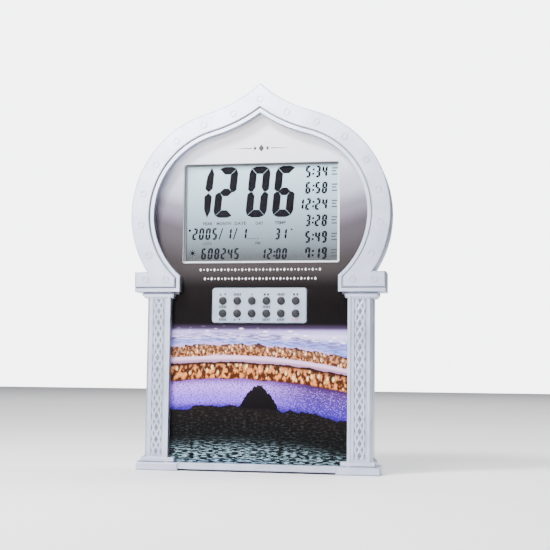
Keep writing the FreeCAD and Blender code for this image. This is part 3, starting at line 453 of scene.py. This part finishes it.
# %% Layers with rolling edges
def rolling_edge(level_mm, swing_mm, wave_mm, seed):
    noise = add_node(sheet_print, "TexNoise", {"Scale": 1.0 / wave_mm, "Detail": 4.0, "Roughness": 0.6},
                     noise_dimensions="1D")
    shift = add_node(sheet_print, "Math", {1: seed * wave_mm}, {0: across}, operation="ADD")
    sheet_print.node_tree.links.new(shift.outputs[0], noise.inputs["W"])
    heights = {"From Min": 0.3, "From Max": 0.7, "To Min": level_mm - swing_mm, "To Max": level_mm + swing_mm}
    edge = add_node(sheet_print, "MapRange", heights, {"Value": noise.outputs["Fac"]}, clamp=False)
    return add_node(sheet_print, "Math", {}, {0: edge.outputs[0], 1: height}, operation="SUBTRACT").outputs[0]


def lamps(spacing_x, spacing_z, reach, seed=0.0):
    scaled = add_node(sheet_print, "VectorMath", {1: (1 / spacing_x, 0, 1 / spacing_z)}, {0: millimetres},
                      operation="MULTIPLY")
    moved = add_node(sheet_print, "VectorMath", {1: (seed, 0, seed)}, {0: scaled.outputs[0]}, operation="ADD")
    cells = add_node(sheet_print, "TexVoronoi", {"Scale": 1.0, "Randomness": 0.8}, {"Vector": moved.outputs[0]})
    return between(cells.outputs["Distance"], reach, reach * 0.35)


picture = sky
glow_streaks = mottle(9, 0.9, 0.42, 0.58, 1.0, 5.0)
glow_zone = times(between(height, 90, 94), between(height, 107, 104))
picture = blend_print(
    picture, shaded(height, [(90, "#4A5AB0"), (97, "#5470C4"), (103, "#6C5C9C"), (112, "#241C30")]),
    times(glow_streaks, glow_zone))
horizon_lamps = times(lamps(7.0, 2.6, 0.42, 2.3), times(between(height, 103, 105), between(height, 111, 109)))
picture = blend_print(picture, shaded(height, [(90, "#E8DCF8"), (112, "#FFF4FF")]), horizon_lamps)
print("glow over the hills")

# %% Far hills, lamplit shore and pale ledge
far_hills = rolling_edge(98, 2.0, 26, 3.1)
picture = blend_print(
    picture, shaded(height, [(76, "#6A5560"), (86, "#8C74B0"), (95, "#B49AE0"), (104, "#9C90E0")]),
    between(far_hills, 0.0, 0.8))
near_hills = rolling_edge(96.5, 1.6, 15, 7.7)
wooded = shaded(height, [(76, "#3A1C14"), (88, "#4E2C1C"), (93, "#5A3A2A"), (98, "#2A2028")])
picture = blend_print(picture, wooded, between(near_hills, 0.0, 0.5))
shore_glow = times(mottle(2.2, 2.6, 0.46, 0.6, 2.0, 5.0), times(between(height, 86, 88), between(height, 97, 94)))
picture = blend_print(
    picture, shaded(height, [(78, "#B86A3C"), (88, "#D08A5C"), (92, "#C08058")]),
    shore_glow)
shore_lamps = times(lamps(2.6, 5.2, 0.4), times(between(height, 86, 88), between(height, 97, 95)))
picture = blend_print(picture, shaded(height, [(78, "#F2C08A"), (96, "#F0CCB0")]), shore_lamps)
ledge = rolling_edge(88.0, 0.7, 30, 1.3)
picture = blend_print(
    picture, shaded(height, [(80, "#5C3C50"), (83.5, "#A07898"), (86, "#E0B8DC"), (89, "#C09CD0")]),
    between(ledge, 0.0, 0.5))
print("far shore done")

# %% Near shore with its lamps, and their light on the water
bank = rolling_edge(83.0, 0.8, 18, 5.5)
picture = blend_print(
    picture, shaded(height, [(62, "#1C0C0A"), (70, "#44200F"), (79, "#3E2014"), (84, "#180E10")]),
    between(bank, 0.0, 0.6))
bank_glow = times(mottle(3.2, 5.0, 0.46, 0.58, 4.0, 4.0), times(between(height, 69, 71), between(height, 82, 80)))
picture = blend_print(
    picture, shaded(height, [(64, "#A85630"), (75, "#DC8A50"), (82, "#B87048")]),
    bank_glow)
bank_lamps = times(lamps(3.4, 6.4, 0.4, 3.4), times(between(height, 70, 72), between(height, 82, 80)))
picture = blend_print(picture, shaded(height, [(66, "#F4B070"), (81, "#FADCA8")]), bank_lamps)
print("near shore done")

# %% The lake, the near bank and its glints
lake = rolling_edge(70.0, 0.9, 24, 8.2)
water = shaded(height, [(40, "#160C3C"), (48, "#3C2498"), (54, "#8C60F4"), (64, "#B884FF"), (71, "#6A3C84")])
dusk = shaded(height, [(40, "#100830"), (50, "#3A2490"), (60, "#301C6C"), (71, "#2C1830")])
water = blend_print(water, dusk, between(across, -12, 46, 0.85))
picture = blend_print(picture, water, between(lake, 0.0, 0.8))
ripples = times(mottle(1.3, 0.6, 0.5, 0.62, 5.0, 3.0), times(between(height, 40, 44), between(height, 71, 68)))
picture = blend_print(picture, shaded(height, [(40, "#0C0820"), (56, "#2E1C6C"), (71, "#281A3A")]), ripples)
glitter = times(lamps(1.5, 0.9, 0.42, 6.1), times(between(height, 46, 52), between(height, 70, 64)))
picture = blend_print(picture, shaded(height, [(44, "#7A5CF4"), (71, "#C890FF")]), glitter)
islet_place = add_node(sheet_print, "Math", {1: 0.5}, {0: across}, operation="SUBTRACT").outputs[0]
islet_span = add_node(sheet_print, "Math", {}, {0: islet_place, 1: islet_place}, operation="MULTIPLY").outputs[0]
islet_drop = add_node(sheet_print, "Math", {1: 0.075}, {0: islet_span}, operation="MULTIPLY").outputs[0]
islet_top = add_node(sheet_print, "Math", {}, {0: rolling_edge(65.5, 2.0, 6, 4.4), 1: islet_drop},
                     operation="SUBTRACT").outputs[0]
islet = times(between(islet_top, 0.0, 0.6), between(height, 46, 48))
picture = blend_print(picture, shaded(height, [(44, "#0A0709"), (62, "#120F12"), (68, "#2A2024")]), islet)
near_bank = rolling_edge(49.0, 2.4, 20, 2.6)
soil = shaded(height, [(0, "#070D10"), (14, "#08090B"), (30, "#090809"), (48, "#120D0E")])
picture = blend_print(picture, soil, between(near_bank, 0.0, 1.2))
tufts = times(mottle(3.0, 0.9, 0.5, 0.66, 6.0), between(near_bank, 0.5, 3.0))
picture = blend_print(picture, shaded(height, [(0, "#1E3438"), (24, "#20282A"), (48, "#2C2826")]), tufts)
glints = times(mottle(5.0, 0.7, 0.5, 0.58, 7.0, 5.0), between(height, 28, 12))
picture = blend_print(picture, shaded(height, [(0, "#7AA8D8"), (12, "#9AB8C4"), (28, "#58686C")]), glints)
wire(sheet_print, picture, sheet_skin, "Base Color")
film_wave = add_node(sheet_print, "TexNoise", {"Scale": per_metre(1.2), "Detail": 2.0}, {"Vector": place})
film_gloss = add_node(sheet_print, "MapRange", {"To Min": 0.26, "To Max": 0.4}, {"Value": film_wave.outputs["Fac"]})
wire(sheet_print, film_gloss.outputs[0], sheet_skin, "Roughness")
print("print nodes:", len(sheet_print.node_tree.nodes))

# %% [markdown]
# ### Giving the finishes to the ready parts
# Each part of the frame model keeps its shape and takes one of the finishes.

# %% Finishes on the ready parts
finishes = {
    "front_shell": silver_lacquer, "front_panel": sheet_print, "display_carrier": rim_abs,
    "display_glass": crystal_ground, "display_reflector": reflector_foil, "zebra_strips": contact_silicone,
    "button_plate": key_lacquer, "keypad_membrane": contact_silicone, "main_board": solder_mask,
    "board_chips": resin_black, "voice_chip": resin_black, "crystal": tinned_spring,
    "capacitors": capacitor_sleeve, "temperature_sensor": resin_black, "board_screws": zinc_steel,
    "carrier_screws": zinc_steel, "back_cover": back_abs, "cover_screws": zinc_steel,
    "speaker_frame": zinc_steel, "speaker_cone": pressed_paper, "speaker_magnet": ferrite_block,
    "speaker_screws": zinc_steel, "battery_cells": cell_sleeve, "battery_springs": tinned_spring,
    "battery_plates": tinned_spring, "battery_door": back_abs, "stand_leg": back_abs,
    "stand_pin": drawn_pin, "volume_switch": switch_nylon, "volume_knob": switch_nylon,
    "speaker_leads": lead_pvc, "battery_leads": lead_pvc,
}
for node_name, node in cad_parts.items():
    is_button = node_name.startswith("button_") and node_name[-1].isdigit()
    node.data.materials.clear()
    node.data.materials.append(button_silicone if is_button else finishes[node_name])
print("finished", len(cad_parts), "parts")

# %% [markdown]
# ## Making thin raised shapes
# Print, crystal segments and cast ornament are all outlines with a small thickness. One function
# gathers outlines in millimetres, gives them a front and a back, and makes one piece that rides on
# the case.

# %% From outlines to a piece
def make_piece(name, points, faces, finish, body="case", smooth=False):
    mesh = bpy.data.meshes.new(name)
    mesh.from_pydata([(x * MM, y * MM, z * MM) for x, y, z in points], [], faces)
    mesh.materials.append(finish)
    mesh.validate()
    if smooth:
        mesh.shade_smooth()
    piece = bpy.data.objects.new(name, mesh)
    bpy.context.scene.collection.objects.link(piece)
    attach(piece, body)


def turned_left(outline):
    """The outline with its corners in the order that faces the front."""
    area = sum(a[0] * b[1] - b[0] * a[1] for a, b in zip(outline, outline[1:] + outline[:1]))
    return outline if area > 0 else outline[::-1]


def raised_outlines(name, outlines, front, back, finish):
    points, faces = [], []
    for outline in outlines:
        ring = turned_left(outline)
        first, count = len(points), len(ring)
        points += [(x, front, z) for x, z in ring] + [(x, back, z) for x, z in ring]
        faces.append(tuple(range(first, first + count)))
        for i in range(count):
            j = (i + 1) % count
            faces.append((first + i, first + count + i, first + count + j, first + j))
    make_piece(name, points, faces, finish)
    print(name, len(outlines), "outlines")


# %% [markdown]
# ## Numerals of the display
# A numeral has seven strokes with a thin light gap where two meet. The outer corners are cut
# round, and the whole numeral leans about five degrees. The large ones are 40 mm high with strokes
# of 6 mm, the small ones 9 mm high. Each stroke is drawn straight, pulled in by half the gap, and
# then leant over. In these functions w, h and s are the width, the height and the stroke.

# %% Strokes of a numeral
STROKES_OF = {
    "0": "abcdef", "1": "bc", "2": "abged", "3": "abgcd", "4": "fgbc", "5": "afgcd",
    "6": "afgedc", "7": "fabc", "8": "abcdefg", "9": "abcdfg",
}
LEAN = math.tan(math.radians(5.2))


def stroke_shapes(w, h, s):
    m, cut = h / 2, s * 0.85
    c = cut * (1 - math.sqrt(0.5))
    tip = s * 0.35
    shapes = {
        "a": [(cut, h), (w - cut, h), (w - c, h - c), (w - s, h - s), (s, h - s), (c, h - c)],
        "f": [(c, h - c), (s, h - s), (s, m + s * 0.55), (s * 0.65, m), (tip, m), (0, m + s * 0.3), (0, h - cut)],
        "g": [(s * 0.55, m), (s * 1.05, m + s / 2), (w - s * 1.05, m + s / 2),
              (w - s * 0.55, m), (w - s * 1.05, m - s / 2), (s * 1.05, m - s / 2)],
    }
    shapes["b"] = [(w - x, z) for x, z in shapes["f"]]
    for upper, lower in (("a", "d"), ("f", "e"), ("b", "c")):
        shapes[lower] = [(x, h - z) for x, z in shapes[upper]]
    return shapes


def pulled_in(outline, gap):
    ring = turned_left(outline)
    lines = []
    for a, b in zip(ring, ring[1:] + ring[:1]):
        length = math.hypot(b[0] - a[0], b[1] - a[1])
        normal = (-(b[1] - a[1]) / length, (b[0] - a[0]) / length)
        lines.append((normal, normal[0] * a[0] + normal[1] * a[1] + gap))
    corners = []
    for (n1, d1), (n2, d2) in zip(lines[-1:] + lines[:-1], lines):
        det = n1[0] * n2[1] - n1[1] * n2[0]
        corners.append(((d1 * n2[1] - d2 * n1[1]) / det, (n1[0] * d2 - n2[0] * d1) / det))
    return corners


def leant(outline, x0, z0):
    return [(x0 + x + z * LEAN, z0 + z) for x, z in outline]


def numeral(mark, x0, z0, w, h, s, gap):
    shapes = stroke_shapes(w, h, s)
    return [leant(pulled_in(shapes[name], gap), x0, z0) for name in STROKES_OF[mark]]


# %% [markdown]
# A single stroke "1" in the large row stands close to the next numeral, so it is drawn as two
# bars with pointed ends. A colon is two small squares, and a slash one slanting bar.

# %% Rows of numerals
def bar_one(x0, z0, h, s):
    m = h / 2
    top = [(0, m + s * 0.5), (s * 0.5, m + 0.3), (s, m + s * 0.5),
           (s, h - s * 0.9), (s * 0.62, h - 0.2), (s * 0.12, h - s * 1.2)]
    bottom = [(x, h - z) for x, z in top]
    return [leant(top, x0, z0), leant(bottom, x0, z0)]


def flat_box(x, z, half_x, half_z):
    return [(x - half_x, z - half_z), (x + half_x, z - half_z), (x + half_x, z + half_z), (x - half_x, z + half_z)]


def small_row(text, x0, z0, w=4.1, h=9.4, s=1.65, pitch=5.3):
    outlines, x = [], x0
    for mark in text:
        if mark == ":":
            outlines += [leant(flat_box(0.9, h * part, s * 0.42, s * 0.42), x, z0) for part in (0.32, 0.68)]
            x += pitch * 0.42
        elif mark == "/":
            outlines.append(leant([(0.2, 0.2), (1.1, 0.2), (3.2, h - 0.2), (2.3, h - 0.2)], x, z0))
            x += pitch * 0.8
        elif mark == " ":
            x += pitch * 0.5
        else:
            outlines += numeral(mark, x, z0, w, h, s, 0.07)
            x += pitch
    return outlines


CRYSTAL_HEIGHT = 0.06
LARGE_Z, LARGE_HEIGHT = 196.0, 40.5
TIME_ROWS = (226.6, 213.9, 201.2, 188.4, 175.5, 162.9)

segments = bar_one(-47.4, LARGE_Z, LARGE_HEIGHT, 6.0)
for mark, x0 in (("2", -38.9), ("0", -13.1), ("6", 7.8)):
    segments += numeral(mark, x0, LARGE_Z, 17.0, LARGE_HEIGHT, 6.2, 0.14)
segments += small_row("2005/", -55.4, 178.7)
segments += small_row(" 1/ 1", -30.6, 178.7)
segments += small_row("31", 10.6, 178.4, h=9.0)
segments += small_row("12:00", -0.4, 163.0, h=8.8, w=3.9, pitch=4.9)
segments += small_row("608245", -48.0, 163.2, h=9.0, pitch=5.25)
for text, x0, row in (("5:34", 34.2, 0), ("6:58", 34.2, 1), ("3:28", 34.2, 3), ("5:49", 34.2, 4),
                      ("7:19", 34.2, 5), ("12:24", 28.9, 2)):
    segments += small_row(text, x0, TIME_ROWS[row], w=4.3, s=1.85, pitch=5.35)
raised_outlines("display_numerals", segments, glass_y - CRYSTAL_HEIGHT, glass_y, segment_dark)

# %% [markdown]
# ## Marks and captions of the display
# A sun, a dot and a degree sign are lit segments too. The plain words over the fields and the
# tiny captions beside the times are thinner and greyer. The words come from Blender's own font, as
# flat mesh.

# %% Words, sun and small captions
def polygon(x, z, radius, corners):
    step = 2 * math.pi / corners
    return [(x + radius * math.cos(i * step), z + radius * math.sin(i * step)) for i in range(corners)]


def sun_mark(x, z):
    rays = []
    ray = ((1.7, -0.25), (2.7, -0.25), (2.7, 0.25), (1.7, 0.25))
    for i in range(8):
        a = i * math.pi / 4
        ca, sa = math.cos(a), math.sin(a)
        rays.append([(x + r * ca - t * sa, z + r * sa + t * ca) for r, t in ray])
    return [polygon(x, z, 1.35, 18)] + rays


marks = sun_mark(-54.6, 168.3) + [polygon(-57.2, 186.2, 1.1, 6), polygon(24.2, 186.3, 0.7, 10)]
raised_outlines("display_marks", marks, glass_y - CRYSTAL_HEIGHT, glass_y, segment_dark)


def word_shapes(text, x0, x1, z0, height_mm):
    curve = bpy.data.curves.new("word", "FONT")
    curve.body = text
    curve.resolution_u = 2
    curve.offset = 0.034
    holder = bpy.data.objects.new("word", curve)
    bpy.context.scene.collection.objects.link(holder)
    flat = bpy.data.meshes.new_from_object(holder)
    corners = [v.co.copy() for v in flat.vertices]
    low_x, high_x = min(c.x for c in corners), max(c.x for c in corners)
    high_y = max(c.y for c in corners)
    placed = [(x0 + (c.x - low_x) / (high_x - low_x) * (x1 - x0), z0 + c.y / high_y * height_mm) for c in corners]
    faces = [tuple(p.vertices) for p in flat.polygons]
    bpy.data.objects.remove(holder)
    bpy.data.meshes.remove(flat)
    return placed, faces


def words_piece(name, words, front, finish):
    points, faces = [], []
    for text, x0, x1, z0, height_mm in words:
        placed, shape = word_shapes(text, x0, x1, z0, height_mm)
        first = len(points)
        points += [(x, front, z) for x, z in placed]
        faces += [tuple(first + i for i in face) for face in shape]
    make_piece(name, points, faces, finish)
    print(name, len(words), "words")


words_piece("display_words", [
    ("YEAR", -47.2, -38.8, 190.4, 2.4), ("MONTH", -35.6, -24.0, 190.4, 2.4), ("DATE", -21.2, -12.0, 190.4, 2.4),
    ("DAY", -4.4, 2.0, 190.4, 2.4), ("TEMP", 10.6, 19.6, 190.6, 2.4), ("CITY", -46.4, -38.8, 174.6, 2.2),
    ("PM", -4.4, -0.6, 174.8, 2.2),
], glass_y - 0.03, label_dark)

captions = []
for z0 in TIME_ROWS:
    for step, reach in ((6.8, 4.6), (4.6, 3.4), (2.0, 4.2)):
        low, high = z0 + step, z0 + step + 0.95
        captions.append([(55.2, low), (55.2 + reach, low), (55.2 + reach, high), (55.2, high)])
for i in range(5):
    captions.append(flat_box(-10.4 + i * 2.0, 179.4, 0.45, 0.45))
raised_outlines("display_captions", captions, glass_y - 0.05, glass_y, label_dark)

# %% [markdown]
# ## Polarising film
# The outermost layer is a clear film with rounded corners that fills the rim of the window. It
# gives the display its soft reflection.

# %% Film over the display
def rounded_outline(x0, x1, z0, z1, radius, steps=5):
    outline = []
    for cx, cz, start in ((x1 - radius, z1 - radius, 0), (x0 + radius, z1 - radius, 90),
                          (x0 + radius, z0 + radius, 180), (x1 - radius, z0 + radius, 270)):
        for i in range(steps + 1):
            a = math.radians(start + 90 * i / steps)
            outline.append((cx + radius * math.cos(a), cz + radius * math.sin(a)))
    return outline


film_outline = rounded_outline(-60.05, 60.05, 161.8, 236.8, 0.8)
raised_outlines("polarising_film", [film_outline], glass_y - 0.3, glass_y - 0.15, polariser)

# %% [markdown]
# ## Interlaced ornament of the columns
# Down each column runs a cast band of four strands that cross every 9 mm, with a drop in each eye
# and a leaf at each edge. The ground between them is painted darker grey, as painted shade. The
# strands are swept half-round ribs that rise and dip as they pass over and under each other.

# %% Strands, drops and leaves
COLUMN_X = 78.65
BAND_HALF = 4.7
STRAND_SWING = 3.3
STRAND_WIDTH = 1.85
CROSSING_PITCH = 17.97
FIRST_CROSSING = 117.8
SHAFT_Y = -15.15
BAND_LOW, BAND_HIGH = 11.2, 131.6
LOOP_ANGLES = [2 * math.pi * i / 14 for i in range(14)]


def swept_rib(path, width, rise, ground, lifts=None, closed=False):
    section = [(-0.5, 0.0), (-0.42, 0.45), (-0.22, 0.86), (0.0, 1.0), (0.22, 0.86), (0.42, 0.45), (0.5, 0.0)]
    points, faces, count = [], [], len(path)
    for i, (x, z) in enumerate(path):
        before = path[i - 1] if i > 0 or closed else path[i]
        after = path[(i + 1) % count] if i < count - 1 or closed else path[i]
        tx, tz = after[0] - before[0], after[1] - before[1]
        length = math.hypot(tx, tz)
        lift = lifts[i] if lifts else 0.0
        for side, up in section:
            y = ground - up * (rise + lift)
            points.append((x - tz / length * side * width, y, z + tx / length * side * width))
    width_count = len(section)
    for i in range(count if closed else count - 1):
        for j in range(width_count - 1):
            a, b = i * width_count + j, (i + 1) % count * width_count + j
            faces.append((a, a + 1, b + 1, b))
    return points, faces


def joined(parts):
    points, faces = [], []
    for some_points, some_faces in parts:
        first = len(points)
        points += some_points
        faces += [tuple(first + i for i in face) for face in some_faces]
    return points, faces


def strand(centre, side, shift):
    path, lifts = [], []
    steps = 300
    for i in range(steps + 1):
        z = BAND_LOW + (BAND_HIGH - BAND_LOW) * i / steps
        phase = math.pi * ((z - FIRST_CROSSING) / CROSSING_PITCH + shift)
        path.append((centre + side * STRAND_SWING * math.sin(phase), z))
        lifts.append(0.16 * side * math.cos(phase) * math.cos(phase / 2))
    return swept_rib(path, STRAND_WIDTH, 0.5, SHAFT_Y, lifts)


def drop_shape(x, z, length, width):
    return [(x + width * math.sin(a) * (1 - 0.55 * math.cos(a)) * 0.5, z + length * 0.5 * math.cos(a))
            for a in LOOP_ANGLES]


def ornament(centre):
    parts = [strand(centre, side, shift) for side in (-1, 1) for shift in (0.0, 0.5)]
    for edge in (-1, 1):
        x = centre + edge * BAND_HALF
        border = [(x, BAND_LOW), (x, (BAND_LOW + BAND_HIGH) / 2), (x, BAND_HIGH)]
        parts.append(swept_rib(border, 0.9, 0.35, SHAFT_Y))
    for n in range(-6, 2):
        eye = FIRST_CROSSING + (n - 0.5) * CROSSING_PITCH
        if not BAND_LOW + 3 < eye < BAND_HIGH - 3:
            continue
        parts.append(swept_rib(drop_shape(centre, eye, 2.6, 1.3), 0.55, 0.4, SHAFT_Y, closed=True))
    for n in range(-6, 2):
        crossing = FIRST_CROSSING + n * CROSSING_PITCH
        if not BAND_LOW + 2 < crossing < BAND_HIGH - 2:
            continue
        for edge in (-1, 1):
            leaf = [(centre + edge * (3.3 + 0.6 * math.cos(a)), crossing + 1.8 * math.sin(a)) for a in LOOP_ANGLES]
            parts.append(swept_rib(leaf, 0.6, 0.34, SHAFT_Y, closed=True))
    return joined(parts)


for side_name, centre in (("left", -COLUMN_X), ("right", COLUMN_X)):
    points, faces = ornament(centre)
    make_piece("knotwork_" + side_name, points, faces, silver_lacquer, smooth=True)
    ground_plate = rounded_outline(centre - BAND_HALF, centre + BAND_HALF, BAND_LOW, BAND_HIGH, 0.4)
    # Painted shade: a thin dark plate under the strands stands for the shade between them.
    raised_outlines("knotwork_ground_" + side_name, [ground_plate], SHAFT_Y - 0.06, SHAFT_Y, recess_painted_shade)
print("strand crossings every", CROSSING_PITCH, "mm")

# %% [markdown]
# ## Print on the sheet and on the key plate
# Two rows of pale lozenges and dots run between the window and the key plate, and a small dark
# device sits over the window. The key plate has a small pictogram by each button: arrows, dots, a
# plus or bars, two of them rose.

# %% Ornament rows and pictograms
SHEET_INK, KEY_INK = 0.04, 0.03
ROW_PITCH, BUTTON_PITCH = 2.7, 11.45


def lozenge(x, z, half_x, half_z):
    return [(x - half_x, z), (x, z - half_z), (x + half_x, z), (x, z + half_z)]


pale_ink, skin = start_finish("pale_screen_ink", "#EDE9EA", IOR=1.5)
grain(pale_ink, skin, "#F2EFF0", "#DCD7D9", 0.5, 0.003, drift_mm=10.0, gloss=(0.4, 0.5))
dark_ink, skin = start_finish("dark_screen_ink", "#4B474C", IOR=1.5)
grain(dark_ink, skin, "#2E2B2F", "#232124", 0.5, 0.003, drift_mm=6.0, gloss=(0.4, 0.5))
rose_ink, skin = start_finish("rose_screen_ink", "#B07C93", IOR=1.5)
grain(rose_ink, skin, "#B9859C", "#A26E86", 0.5, 0.003, drift_mm=4.0, gloss=(0.4, 0.5))

rows = []
for z, reach in ((154.8, 47.0), (147.8, 43.5)):
    count = int(2 * reach / ROW_PITCH)
    for i in range(count + 1):
        x = -reach + 2 * reach * i / count
        rows.append(lozenge(x, z, 0.95, 1.35) if i % 2 == 0 else polygon(x, z, 0.6, 8))
raised_outlines("sheet_ornament", rows, panel_y - SHEET_INK, panel_y, pale_ink)
crest = [lozenge(0, 250.2, 2.2, 2.9)]
for way in (-1, 1):
    crest += [lozenge(way * 5.0, 250.2, 1.3, 1.7),
              [(way * 7.6, 249.8), (way * 20.5, 250.1), (way * 20.5, 250.3), (way * 7.6, 250.6)]]
raised_outlines("sheet_crest", crest, panel_y - SHEET_INK, panel_y, dark_ink)


def pictogram(kind, x, z):
    if kind == "arrows":
        return [[(x - 3.0, z - 0.8), (x - 0.8, z - 0.8), (x - 1.9, z + 0.9)],
                [(x + 0.8, z + 0.8), (x + 1.9, z - 0.9), (x + 3.0, z + 0.8)]]
    if kind == "plus":
        return [flat_box(x, z, 1.0, 0.22), flat_box(x, z, 0.22, 1.0)]
    if kind == "bars":
        return [flat_box(x + dx, z, 0.42, 1.0) for dx in (-2.4, -1.2, 0.0, 1.2, 2.4)]
    return [polygon(x - 1.3, z, 0.95, 10), polygon(x + 1.3, z, 0.95, 10)]


KEY_ROWS = [
    (135.4, ("arrows", "bars", "plus", "dots", "bars", "dots")),
    (125.7, ("bars", "rose dots", "", "bars", "", "")),
    (115.9, ("bars", "arrows", "plus", "bars", "bars", "rose bars")),
]
dark_marks, rose_marks = [], []
for z, kinds in KEY_ROWS:
    for column, kind in enumerate(kinds):
        if kind:
            inked = rose_marks if kind.startswith("rose") else dark_marks
            inked.extend(pictogram(kind.split()[-1], (column - 2.5) * BUTTON_PITCH, z))
raised_outlines("key_marks", dark_marks, plate_y - KEY_INK, plate_y, dark_ink)
raised_outlines("key_marks_rose", rose_marks, plate_y - KEY_INK, plate_y, rose_ink)

# %% [markdown]
# ## Marks moulded on the back
# The back has what a hand looks for: grip ribs and an arrow on the battery door, a wedge of steps
# beside the volume slider, raised collars round the screw wells and a rib round the speaker
# grille. They are 0.6 to 0.7 mm high, cast with the cover, and the door's and the leg's ones turn with
# them.

# %% Moulded marks
BACK_Y = 19.0
COLLAR_RISE, RIB_RISE = 0.6, 0.7
GRIP_PITCH, STEP_PITCH, LEG_SINK = 2.4, 2.2, 0.4
WELLS = [(0.0, 285.5), (-79.2, 243.0), (79.2, 243.0), (-78.65, 104.0), (78.65, 104.0), (-78.65, 24.0),
         (78.65, 24.0)]


def outward(rib):
    points, faces = rib
    return points, [face[::-1] for face in faces]


def collar(x, z, radius, width=1.0):
    return outward(swept_rib(polygon(x, z, radius, 40), width, -COLLAR_RISE, BACK_Y, closed=True))


def bar_rib(x0, z0, x1, z1, width=1.1):
    path = [(x0, z0), ((x0 + x1) / 2, (z0 + z1) / 2), (x1, z1)]
    return outward(swept_rib(path, width, -RIB_RISE, BACK_Y))


cover_marks = [collar(x, z, 4.0) for x, z in WELLS] + [collar(0.0, 207.0, 27.5, 1.8)]
cover_marks += [bar_rib(53.5, 181.0 + STEP_PITCH * i, 54.5 + 0.8 * i, 181.0 + STEP_PITCH * i, 0.6) for i in range(5)]
points, faces = joined(cover_marks)
make_piece("cover_marks", points, faces, back_abs, smooth=True)
door_marks = [bar_rib(-9.0, 147.5 - GRIP_PITCH * i, 9.0, 147.5 - GRIP_PITCH * i) for i in range(3)]
door_marks += [bar_rib(-4.0, 138.6, 0.0, 134.8), bar_rib(4.0, 138.6, 0.0, 134.8)]
points, faces = joined(door_marks)
make_piece("door_marks", points, faces, back_abs, body="door", smooth=True)
leg_marks = [bar_rib(-8.0, 22.0 + GRIP_PITCH * i, 8.0, 22.0 + GRIP_PITCH * i) for i in range(3)]
points, faces = joined(leg_marks)
points = [(x, y - LEG_SINK, z) for x, y, z in points]
make_piece("leg_marks", points, faces, back_abs, body="leg", smooth=True)
print("moulded marks:", len(cover_marks) + len(door_marks) + len(leg_marks))

# %% [markdown]
# ## Wound springs in the battery bay
# The frame model holds plain cones where the springs are. The real ones are steel wire wound in a
# widening spiral, seen when the door is open, so a curve with a round bevel takes their place.

# %% Battery springs
WIRE_RADIUS, WIRE_CLEARANCE = 0.27, 0.3
CELL_Y, CELL_END, CELL_PITCH, BAY_MIDDLE = 9.85, 25.25, 15.2, 138.0
SPRING_LENGTH, SPRING_NARROW, SPRING_WIDENS, SPRING_TURNS, SPRING_STEPS = 3.2, 1.9, 2.0, 4.0, 64

spring_curve = bpy.data.curves.new("battery_spring_wire", "CURVE")
spring_curve.dimensions = "3D"
spring_curve.bevel_depth = WIRE_RADIUS * MM
spring_curve.bevel_resolution = 3
for row, side in enumerate((1, -1, 1)):
    z = BAY_MIDDLE + (row - 1) * CELL_PITCH
    spline = spring_curve.splines.new("NURBS")
    spline.points.add(SPRING_STEPS)
    for i in range(SPRING_STEPS + 1):
        share = i / SPRING_STEPS
        radius = SPRING_NARROW + SPRING_WIDENS * share
        a = 2 * math.pi * SPRING_TURNS * share
        x = -side * (CELL_END + WIRE_CLEARANCE + (SPRING_LENGTH - 2 * WIRE_CLEARANCE) * share)
        y, up_z = CELL_Y + radius * math.cos(a), z + radius * math.sin(a)
        spline.points[i].co = (x * MM, y * MM, up_z * MM, 1.0)
    spline.order_u = 4
    spline.use_endpoint_u = True
spring_curve.materials.append(tinned_spring)
springs = bpy.data.objects.new("battery_spring_wire", spring_curve)
bpy.context.scene.collection.objects.link(springs)
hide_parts("battery_springs")
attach(springs, "case")
print("springs:", len(spring_curve.splines))

# %% [markdown]
# ## Floor finish
# The floor is pale matt board.

# %% Floor finish
floor_board, skin = start_finish("pale_matt_board", "#F1F1F3", IOR=1.4)
grain(floor_board, skin, "#F3F3F5", "#EFEFF1", 3.0, 0.02, drift_mm=200.0, gloss=(0.8, 0.9))
floor_mesh.materials.append(floor_board)
